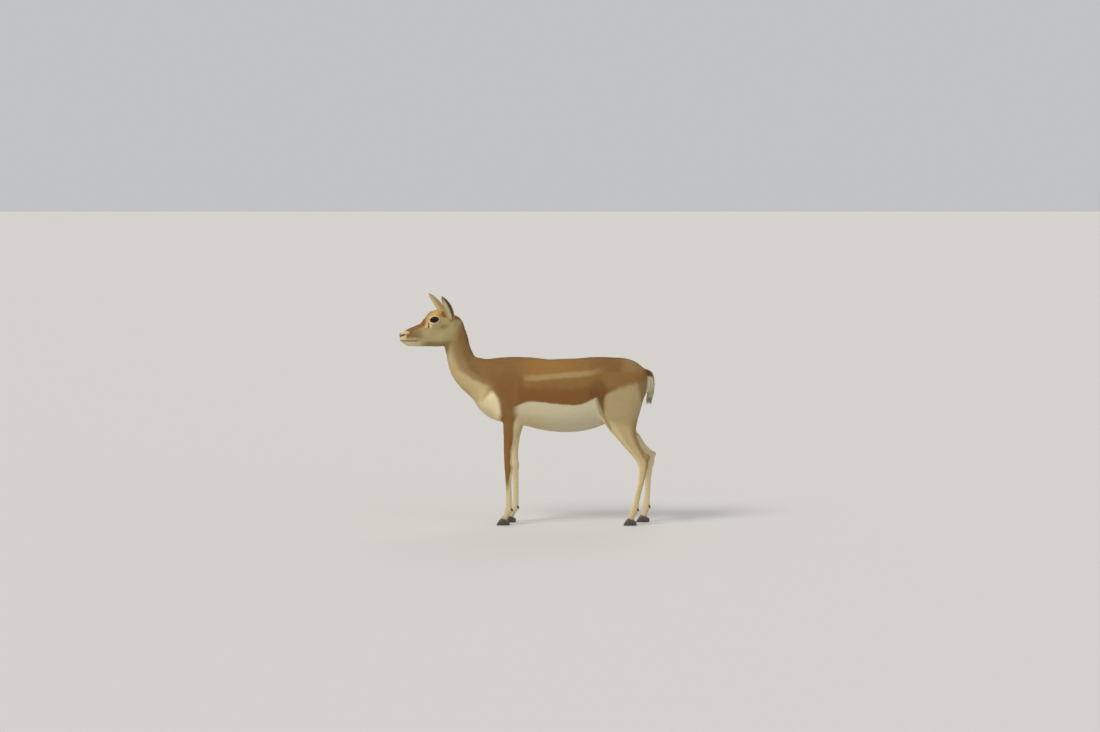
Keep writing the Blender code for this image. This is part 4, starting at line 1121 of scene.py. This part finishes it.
def new_piece(name, shape):
    piece = bpy.data.objects.new(name, shape)
    bpy.context.scene.collection.objects.link(piece)
    return piece


def place(name, points, faces=None, shape=None):
    """Adds a piece; its points are in the animal's own frame."""
    if shape is None:
        shape = bpy.data.meshes.new(name)
        shape.from_pydata((points + SHIFT).tolist(), [], np.array(faces).tolist())
    else:
        shape.vertices.foreach_set("co", (points + SHIFT).ravel())
    shape.update()
    shape.shade_smooth()
    return new_piece(name, shape)


def colour_points(piece, colours):
    layer = piece.data.color_attributes.new("coat", "FLOAT_COLOR", "POINT")
    rows = np.column_stack([colours, np.ones(len(colours))]).astype(np.float32)
    layer.data.foreach_set("color", rows.ravel())


def side_name(side):
    return "left" if side == LEFT else "right"


def make_skin():
    shape, points = make_skin_mesh()
    ends, corners = edges_of(shape), triangles_of(shape)
    on_head = head_share(points)
    legs = soft(points[:, 2], 0.50, 0.36)
    points = smoothed(points, ends, 2, 1.0 - 0.4 * on_head)
    points = smoothed(points, ends, 10, (1.0 - on_head) * (1.0 - legs))
    colours = markings(points)
    points = points - normals_of(points, corners) * coat_depth(points)[:, None]
    skin = place("skin", points, shape=shape)
    colour_points(skin, colours)
    skin.data.materials.append(PAINTS["skin"])
    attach(skin, "root")
    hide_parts(*FLESH)
    return points, corners


def make_foot(path, side, end):
    """The two claws and two dewclaws of a foot, as one piece."""
    x, _, _, _, y = path[-1]
    joint_x, joint_z = path[-3][:2]
    foot = np.array([x, side * y, 0.0])
    low, high = foot + (-0.050, -0.030, -0.004), foot + (0.045, 0.030, 0.045)
    points, faces, nodes = [], [], []
    for part, inward in (("inner", -1), ("outer", 1)):
        middle = side * (y + inward * CLAW_SPREAD)
        apart = np.array([0.0, side * inward, 0.0])
        claw = [
            mass([(x + dx, middle, z, d, w) for dx, z, d, w in CLAW], 0.004),
            half_space(foot, np.array([0.0, 0.0, 1.0]), low, high),
            half_space(foot + (0, 0, CORONET + CORONET_LAP), -unit(CORONET_SLOPE), low, high),
            half_space(foot + apart * CLAW_PARTING, apart, low, high),
        ]
        middle = side * (y + inward * DEWCLAW_SPREAD)
        dewclaw = mass([(joint_x + dx, middle, joint_z + dz, d, w) for dx, dz, d, w in DEWCLAW], 0.002)
        for masses, box in ((claw, (low, high)), ([dewclaw], reach_of(dewclaw))):
            some, quads = surface(masses, *box, CLAW_GRID)
            faces.append(quads + sum(len(p) for p in points))
            points.append(some)
        nodes += [f"{kind}_{end}_{side_name(side)}_{part}" for kind in ("hoof", "dewclaw")]
    piece = place(f"hooves_{end}_{side_name(side)}", np.vstack(points), np.vstack(faces))
    piece.data.materials.append(PAINTS["horn"])
    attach(piece, "root")
    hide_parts(*nodes)


def unit_rows(rows):
    return rows / np.maximum(np.linalg.norm(rows, axis=1, keepdims=True), 1e-9)


def along_skin(ways, normals):
    """The ways laid flat on the skin, at unit length."""
    return unit_rows(ways - normals * (ways * normals).sum(axis=1, keepdims=True))


def tufts(roots, normals, lie, length, width, lift, rings=2, sink=0.0008, sag=0.0):
    """Solid tufts with three sides: rings of three points along each, and one at its tip. They leave the
    skin at the angle lift and bend over to lie along it. Gives the points, triangles, and each point's
    share of the way from root to tip."""
    number = len(roots)
    side = unit_rows(np.cross(lie, normals))
    centre = roots - normals * sink
    rows, shares = [], []
    for ring in range(rings + 1):
        share = ring / rings
        angle = lift * (1.0 - 0.85 * share)
        way = lie * np.cos(angle)[:, None] + normals * np.sin(angle)[:, None]
        over = unit_rows(np.cross(side, way))
        if ring == rings:
            rows.append(centre)
            shares.append(np.full(number, 1.0))
            break
        half = (width * (0.5, 0.42, 0.36, 0.28, 0.2)[min(ring, 4)])[:, None]
        rows += [centre + side * half, centre - side * half, centre + over * half * 0.5]
        shares += [np.full(number, share)] * 3
        centre = centre + way * (length / rings)[:, None]
        centre[:, 2] -= sag * length * share
    points = np.stack(rows, axis=1).reshape(-1, 3)
    share = np.stack(shares, axis=1).ravel()
    one = []
    for ring in range(rings - 1):
        a, b = 3 * ring, 3 * ring + 3
        for i, j in ((0, 1), (1, 2), (2, 0)):
            one += [(a + i, a + j, b + i), (a + j, b + j, b + i)]
    last, tip = 3 * (rings - 1), 3 * rings
    one += [(last + i, last + j, tip) for i, j in ((0, 1), (1, 2), (2, 0))]
    corners = (np.array(one)[None] + (np.arange(number) * (3 * rings + 1))[:, None, None]).reshape(-1, 3)
    return points, corners, share


def fast_mesh(name, points, corners, normals=None):
    """A mesh of triangles. With normals, its shading leans towards them, so fine hair looks soft."""
    shape = bpy.data.meshes.new(name)
    shape.vertices.add(len(points))
    shape.vertices.foreach_set("co", (points + SHIFT).astype(np.float32).ravel())
    shape.loops.add(len(corners) * 3)
    shape.loops.foreach_set("vertex_index", corners.astype(np.int32).ravel())
    shape.polygons.add(len(corners))
    shape.polygons.foreach_set("loop_start", np.arange(0, len(corners) * 3, 3, dtype=np.int32))
    shape.update(calc_edges=True)
    shape.validate()
    shape.shade_smooth()
    if normals is not None:
        own = np.empty(len(points) * 3, np.float32)
        shape.vertex_normals.foreach_get("vector", own)
        leaning = unit_rows(own.reshape(-1, 3) * (1.0 - NORMAL_LEAN) + normals * NORMAL_LEAN)
        shape.normals_split_custom_set_from_vertices(leaning)
    return shape


def nearest_way(points, one):
    """Distance to a mass, and the way its path runs at the nearest place."""
    best = np.full(len(points), FAR_AWAY)
    way = np.zeros((len(points), 3))
    path = one["path"]
    for a, b in zip(path[:-1:2], path[2::2]):
        step = {**one, "path": np.array([a, b])}
        distance = mass_distance(points, step)
        closer = distance < best
        best[closer] = distance[closer]
        way[closer] = unit(b[:3] - a[:3])
    return best, way


def coat_lie(points, normals):
    """The way the coat lies at each point: along the masses under it, backward and down."""
    total = np.zeros((len(points), 3))
    weight = np.zeros(len(points))
    turned = to_head(points)
    flesh = body_masses() + head_masses()[:6] + [ear_masses(side)[0] for side in (LEFT, RIGHT)]
    for one in [*flesh, mass(TAIL, 0.01)]:
        own = turned if one["space"] == "head" else points
        sign = np.ones(len(points))
        if one["paired"]:
            sign = np.where(own[:, 1] < 0, -1.0, 1.0)
            own = one_side(own)
        near = in_reach(own, one, 0.01)
        if not near.any():
            continue
        distance, way = nearest_way(own[near], one)
        way[:, 1] *= sign[near]
        if one["space"] == "head":
            way = from_head(way + POLL) - POLL
        share = np.exp(-np.maximum(distance, -0.004) / 0.006)
        total[near] += way * share[:, None]
        weight[near] += share
    way = total / np.maximum(weight, 1e-9)[:, None]
    legs = soft(points[:, 2], 0.56, 0.46)
    way[:, 2] -= 0.30 * (1.0 - legs) * (1.0 - head_share(points))
    for ear in (LEFT, RIGHT):
        _, _, along, across, _ = ear_axes(ear)
        _, edge, _, mine = ear_place(points, ear)
        upward = along + across * np.sign(across[0]) * (0.35 * soft(edge, -0.3, -0.8))[:, None]
        way = blended(way, upward, mine)
    wave = ripple(points, 38.0, 4.0) * 0.22
    return along_skin(way + np.cross(normals, way) * wave[:, None], normals)


def turn_share(across, ahead):
    """How far round an axis a point lies, as a share of a full turn."""
    return np.arctan2(across, ahead) / (2 * math.pi) + 0.5


def unwrap(points):
    """Each point's place on an unwrap of the skin: trunk, neck, head, ears, tail and legs lie apart, each
    rolled out along its length and round its girth."""
    x, y, z = points.T
    forward, sideways, upward = to_head(points).T
    turn = turn_share(y, z - np.interp(x, [-0.2, 0.1, 0.5], [0.62, 0.59, 0.64]))
    spots = np.column_stack([0.02 + 0.60 * soft_line(x, -0.25, 0.60), 0.02 + 0.42 * turn])

    def lay(mine, u, v):
        spots[mine] = np.column_stack([u, v])[mine]

    turn = turn_share(y, x - np.interp(z, NECK_Z, NECK_X))
    lay(x + 0.62 * (z - 0.70) < -0.17, 0.66 + 0.14 * turn, 0.02 + 0.42 * soft_line(z, 0.50, 0.95))
    turn = turn_share(sideways, upward - np.interp(forward, [-0.58, -0.40], [0.848, 0.890]))
    lay(head_share(points) > 0.5, 0.02 + 0.40 * soft_line(forward, -0.60, -0.32), 0.48 + 0.34 * turn)
    ears = ear_share(points) > 0.5
    for side, start, half in ((LEFT, 0.45, y < -0.005), (RIGHT, 0.58, y >= -0.005)):
        base, _, along, across, face = ear_axes(side)
        offset = points - base
        turn = turn_share(offset @ across, offset @ face)
        lay(ears & half, start + 0.11 * turn, 0.48 + 0.16 * soft_line(offset @ along, 0.0, 0.13))
    turn = turn_share(y, x - 0.550)
    lay((x > 0.545) & (z > 0.51), 0.45 + 0.20 * turn, 0.68 + 0.14 * soft_line(z, 0.52, 0.70))
    legs = (z < 0.47) & ((x < 0.10) | (x > 0.33))
    for i, (rows, side, end) in enumerate(LEGS):
        mine = legs & ((x < 0.20) == (end == "foreleg")) & ((y < 0) == (side == LEFT))
        rows = np.array(rows)[::-1]
        turn = turn_share(np.abs(y) - 0.058, x - np.interp(z, rows[:, 1], rows[:, 0]))
        lay(mine, 0.70 + 0.07 * i + 0.06 * turn, 0.48 + 0.48 * soft_line(z, 0.02, 0.47))
    return spots


def toward(values, goal, share):
    values += (goal - values) * share


def coat_plan(points):
    """At each point of the skin: tufts on a square metre, their length and width, and how they stand."""
    own = to_head(points)
    x, z, forward = points[:, 0], points[:, 2], own[:, 0]
    head, ear = head_share(points), ear_share(points)
    on_trunk = (1 / 11.5e-6, 0.0120, 0.0012, 0.12)
    number, length, width, lift = (np.full(len(points), value) for value in on_trunk)
    legs = soft(z, 0.56, 0.40)
    toward(length, np.interp(z, [0.05, 0.25, 0.50], [0.0055, 0.0070, 0.0095]), legs)
    toward(width, np.interp(z, [0.05, 0.25, 0.50], [0.0008, 0.0009, 0.0011]), legs)
    toward(number, 1 / 6.5e-6, legs)
    # Denser on the neck, and shorter and finer on the face and the ears.
    toward(number, 1 / 9.5e-6, soft(x, -0.12, -0.22) * (1 - head))
    toward(length, np.interp(forward, [-0.58, -0.50, -0.42, -0.36], [0.0022, 0.0042, 0.0060, 0.0090]), head)
    toward(width, np.interp(forward, [-0.58, -0.50, -0.36], [0.0006, 0.0008, 0.0011]), head)
    toward(number, np.interp(forward, [-0.58, -0.50, -0.36], [1 / 1.6e-6, 1 / 2.4e-6, 1 / 4.2e-6]), head)
    toward(lift, 0.10, head)
    toward(length, 0.0055, ear)
    toward(width, 0.0007, ear)
    toward(number, 1 / 3.2e-6, ear)
    for side in (LEFT, RIGHT):
        t, edge, wall, mine = ear_place(points, side)
        near = wall < 0.02
        rim = np.full(len(points), FAR_AWAY)
        rim[near] = np.abs(mass_distance(points[near], ear_masses(side)[1]))
        bare = soft(rim - 0.003 * soft(t, 0.45, 0.30), 0.0035, 0.0015)
        toward(length, 0.0100, mine * soft(edge, -0.10, -0.70) * soft(t, 1.0, 0.75) * soft(t, 0.2, 0.4))
        number *= 1.0 - bare * np.maximum(soft(edge, -0.25, 0.25), soft(t, 0.50, 0.38))
        number *= 1.0 - mine * soft(t, 0.93, 0.99)
    # None on the nose, in the mouth, on the lids' rims or in the sockets.
    nose = np.hypot((forward + 0.580) / 0.013, (own[:, 2] - 0.863) / 0.012)
    number *= soft(nose, 0.95, 1.10) + soft(np.abs(own[:, 1]), 0.0075, 0.0100) * (nose < 1.1)
    off_lids = soft(lids_distance(one_side(own)), 0.0030, 0.0045)
    number *= np.where(eye_gap(points) < 0.012, off_lids, 1.0)
    for rows, reach in ((MOUTH_LINE, 0.0020), (NOSTRIL_HOLE, 0.0034), (TEAR_FOLD, 0.0065)):
        number *= np.where(forward < -0.43, 1.0 - near_form(own, rows, reach), 1.0)
    return number, length, width, lift


def bake_map(piece, faces, patches, share):
    """The UV map that puts each tuft on a small patch at its root's place on the unwrap."""
    each = len(share) // len(patches)
    ring = np.arange(each) % 3
    corner = np.column_stack([np.array([-0.5, 0.5, 0.0])[ring], share[:each] - 0.5]) * PATCH
    spots = np.repeat(patches, each, axis=0) + np.tile(corner, (len(patches), 1))
    layer = piece.data.uv_layers.new(name="OFBake")
    layer.data.foreach_set("uv", spots[faces.ravel()].astype(np.float32).ravel())


def make_coat(points, corners, rng):
    """The coat in tufts over the skin, in pieces of a size that tools can take."""
    normals = unit_rows(normals_of(points, corners))
    surface_points = points + normals * coat_depth(points)[:, None]
    lie = coat_lie(surface_points, normals)
    number, length, width, lift = coat_plan(surface_points)
    a, b, c = (points[corners[:, i]] for i in range(3))
    area = np.linalg.norm(np.cross(b - a, c - a), axis=1) / 2
    wanted = np.cumsum(area * number[corners].mean(axis=1))
    picks = np.searchsorted(wanted, np.arange(0.5, wanted[-1]))
    many = len(picks)
    root, turn = np.sqrt(rng.random(many)), rng.random(many)
    shares = np.column_stack([1 - root, root * (1 - turn), root * turn])

    def mix(values):
        """The values at each tuft's place in its triangle."""
        weights = shares.reshape(many, 3, *[1] * (values.ndim - 1))
        return (values[corners[picks]] * weights).sum(axis=1)

    roots, up, outer = mix(points), unit_rows(mix(normals)), mix(surface_points)
    way = along_skin(mix(lie) + rng.normal(0.0, 0.13, (many, 3)), up)
    long = mix(length) * rng.uniform(0.75, 1.20, many)
    wide = mix(width) * rng.uniform(0.75, 1.25, many)
    stand = mix(lift) * rng.uniform(0.6, 1.5, many)
    shade = 1.0 + rng.normal(0.0, 0.05, many) + 0.04 * ripple(outer, 120.0, 6.0)
    warm = rng.normal(0.0, 0.02, many)
    colours = markings(outer) * shade[:, None] * np.column_stack([1 + warm, np.ones(many), 1 - warm])
    patches = unwrap(outer)
    region = np.lexsort((outer[:, 0], np.digitize(outer[:, 2], (0.47, 0.80))))
    for k, some in enumerate(np.array_split(region, math.ceil(many / TUFTS_A_PIECE))):
        rows, faces, share = tufts(roots[some], up[some], way[some], long[some], wide[some], stand[some])
        each = len(rows) // len(some)
        shape = fast_mesh("coat", rows, faces, np.repeat(up[some], each, axis=0))
        piece = new_piece(f"coat_{k + 1:02d}", shape)
        # Each tuft is darker at its root, as painted shade under the coat, and a little lighter at its tip.
        root_shade = (0.93 + 0.12 * share)[:, None]
        colour_points(piece, np.clip(np.repeat(colours[some], each, axis=0) * root_shade, 0.0, 0.95))
        bake_map(piece, faces, patches[some], share)
        piece.data.materials.append(PAINTS["coat"])
        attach(piece, "root")


def tail_hair(rng):
    """Locks of long hair on the sides, back and end of the tail."""
    path = smooth_path(TAIL)
    t = rng.random(TAIL_TUFTS) ** 0.8 * (len(path) - 1.001)
    i = t.astype(int)
    row = path[i] + (path[i + 1] - path[i]) * (t - i)[:, None]
    along = unit_rows(path[i + 1, :3] - path[i, :3])
    angle = rng.uniform(0, 2 * math.pi, TAIL_TUFTS)
    across = np.tile([0.0, 1.0, 0.0], (TAIL_TUFTS, 1))
    deep = unit_rows(np.cross(along, across))
    out = unit_rows(across * np.cos(angle)[:, None] + deep * np.sin(angle)[:, None])
    roots = row[:, :3] + across * (row[:, 4] * np.cos(angle) * 0.9)[:, None]
    roots += deep * (row[:, 3] * np.sin(angle) * 0.9)[:, None]
    down = along + np.array([0.0, 0.0, -0.5]) + rng.normal(0, 0.08, (TAIL_TUFTS, 3))
    share = t / (len(path) - 1)
    length = (0.016 + 0.020 * share) * rng.uniform(0.8, 1.15, TAIL_TUFTS)
    length = np.minimum(length, (row[:, 2] - 0.530) * 0.98)
    width, lift = 0.0016 * rng.uniform(0.8, 1.2, TAIL_TUFTS), np.full(TAIL_TUFTS, 0.30)
    return tufts(roots, out, along_skin(down, out), length, width, lift, rings=4, sag=0.15)


def make_tail(rng):
    points, corners, share = tail_hair(rng)
    tail = new_piece("tail_hair", fast_mesh("tail_hair", points, corners))
    colour_points(tail, markings(points))
    bake_map(tail, corners, unwrap(points[:: len(points) // TAIL_TUFTS]), share)
    tail.data.materials.append(PAINTS["coat"])
    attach(tail, "root")
    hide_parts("tail")


def make_eye(side):
    """The eyeball, with its pupil, iris and white marked on the surface, and the wet front."""
    look, along, rise = eye_axes()
    points, faces = [], []
    for i in range(EYE_RINGS + 1):
        polar = math.pi * i / EYE_RINGS
        bulge = 1.0 + 0.045 * max(0.0, 1.0 - (polar / 0.95) ** 2) ** 1.5
        for j in range(EYE_PARTS):
            turn = 2 * math.pi * j / EYE_PARTS
            a, b, n = math.sin(polar) * math.cos(turn), math.sin(polar) * math.sin(turn), math.cos(polar)
            points.append(np.array(EYE) + (along * a + rise * b + look * n) * EYE_RADIUS * bulge)
    for start in range(0, EYE_RINGS * EYE_PARTS, EYE_PARTS):
        for j in range(EYE_PARTS):
            k = (j + 1) % EYE_PARTS
            face = (start + j, start + EYE_PARTS + j, start + EYE_PARTS + k, start + k)
            faces.append(face[::-1] if side == LEFT else face)
    piece = place(f"eyeball_{side_name(side)}", from_head(np.array(points) * (1, side, 1)), faces)
    edit = bmesh.new()
    edit.from_mesh(piece.data)
    bmesh.ops.remove_doubles(edit, verts=edit.verts, dist=1e-6)
    bmesh.ops.recalc_face_normals(edit, faces=edit.faces)
    edit.to_mesh(piece.data)
    edit.free()
    own = to_head(places_of(piece.data) - SHIFT) * (1, side, 1)
    a, b, n = from_eye(own)
    a, b, front = a / EYE_RADIUS, b / EYE_RADIUS, n > 0
    reach = np.hypot(a, b)
    iris = soft(reach, 0.80, 0.74) * front
    rays = iris * soft(reach, 0.42, 0.60) * (0.5 + 0.4 * np.sin(np.arctan2(b, a) * 37.0))
    colours = layered(
        plain(own, EYE_WHITE),
        (IRIS_RIM, soft(reach, 0.86, 0.80) * front),
        (IRIS, iris),
        (IRIS_RAYS, rays * 0.6),
        (PUPIL, soft(np.hypot(a / 0.46, b / 0.27), 1.08, 0.94) * front),
    )
    colour_points(piece, colours)
    piece.data.materials.append(PAINTS["eye"])
    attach(piece, "root")
    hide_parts(f"eye_{side_name(side)}")


def make_lashes(side, rng):
    """Short dark lashes along the upper lid."""
    look, along, rise = eye_axes()
    mirror = np.array([1, side, 1])
    a = np.linspace(-0.9, 0.96, LASHES) * LID_HALF_WIDTH
    upper = lid_arc(LID_RISE)
    b = np.sqrt(upper**2 - a**2) - upper + LID_RISE + 0.0008
    n = np.sqrt((EYE_RADIUS + 0.0022) ** 2 - a**2 - b**2)

    def from_lid(s, t, u):
        return along * s[:, None] + rise * t[:, None] + look * u[:, None]

    def turned(ways):
        return from_head(ways * mirror + POLL) - POLL

    roots = np.array(EYE) + from_lid(a, b, n)
    out = unit_rows(roots - np.array(EYE))
    aside = a * 25 + rng.normal(0, 0.08, LASHES)
    lie = unit_rows(from_lid(aside, np.full(LASHES, -0.05), np.full(LASHES, 0.9)))
    lie = unit_rows(lie - out * (lie * out).sum(axis=1, keepdims=True) * 0.4)
    length = rng.uniform(0.0050, 0.0075, LASHES) * (1.0 - 0.35 * np.abs(a / LID_HALF_WIDTH) ** 2)
    roots = from_head(roots * mirror)
    up, width, lift = turned(np.tile(rise, (LASHES, 1))), np.full(LASHES, 0.00035), np.full(LASHES, 0.25)
    rows, faces, share = tufts(roots, up, turned(lie), length, width, lift, rings=3)
    piece = new_piece(f"lashes_{side_name(side)}", fast_mesh("lashes", rows, faces))
    colour_points(piece, plain(rows, LASH))
    bake_map(piece, faces, unwrap(roots), share)
    piece.data.materials.append(PAINTS["coat"])
    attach(piece, "root")


def studio():
    """A pale floor, a soft sun from the photo's side, two weaker ones, and the photo's camera."""
    scene = bpy.context.scene
    scene.view_settings.view_transform = "Standard"
    corners = np.array([(-1, -1, 0), (1, -1, 0), (1, 1, 0), (-1, 1, 0)]) * FLOOR_REACH
    floor = place("floor", corners - SHIFT, [(0, 1, 2, 3)])
    made, nodes, links, shader = new_material("floor_paint", 0.9, 0.2)
    shader.inputs["Base Color"].default_value = (*FLOOR_COLOUR, 1.0)
    add_bump(nodes, links, shader, noise(nodes, links, 40.0), 0.0004)
    floor.data.materials.append(made)
    world = bpy.data.worlds.new("studio")
    scene.world = world
    world.use_nodes = True
    world.node_tree.nodes["Background"].inputs["Color"].default_value = (*SKY_COLOUR, 1.0)
    world.node_tree.nodes["Background"].inputs["Strength"].default_value = SKY_STRENGTH
    for name, aim, spread, power, colour in LAMPS:
        lamp = bpy.data.lights.new(name, "SUN")
        lamp.angle = math.radians(spread)
        lamp.energy = power
        lamp.color = colour
        light = bpy.data.objects.new(name, lamp)
        light.rotation_euler = Vector(aim).to_track_quat("-Z", "Y").to_euler()
        scene.collection.objects.link(light)
    camera = bpy.data.objects.new("camera", bpy.data.cameras.new("camera"))
    camera.data.lens = CAMERA_LENS
    camera.data.sensor_width = 36.0
    camera.data.clip_end = 200.0
    camera.location = Vector(CAMERA_PLACE) + Vector(SHIFT)
    camera.rotation_euler = (math.pi / 2 - CAMERA_PITCH, 0.0, 0.0)
    scene.collection.objects.link(camera)
    scene.camera = camera


FLESH = [
    name
    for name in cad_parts
    if name.startswith(("upper_", "lower_", "ear_")) or name in ("head", "neck", "torso")
]
PAINTS = {
    "skin": painted("skin_coat", 0.85, 0.25, 420.0, 0.0012),
    "coat": painted("coat_hair", 0.65, 0.30, 900.0, 0.0002, (0.92, 1.08)),
    "eye": painted("eye_wet", 0.04, 0.24, 1200.0, 0.00001, (0.9, 1.1)),
    "horn": horn_material(),
}
random = np.random.default_rng(7)
skin_points, skin_corners = make_skin()
make_coat(skin_points, skin_corners, random)
make_tail(random)
for side in (LEFT, RIGHT):
    make_eye(side)
    make_lashes(side, random)
for path, side, end in LEGS:
    make_foot(path, side, end)
studio()
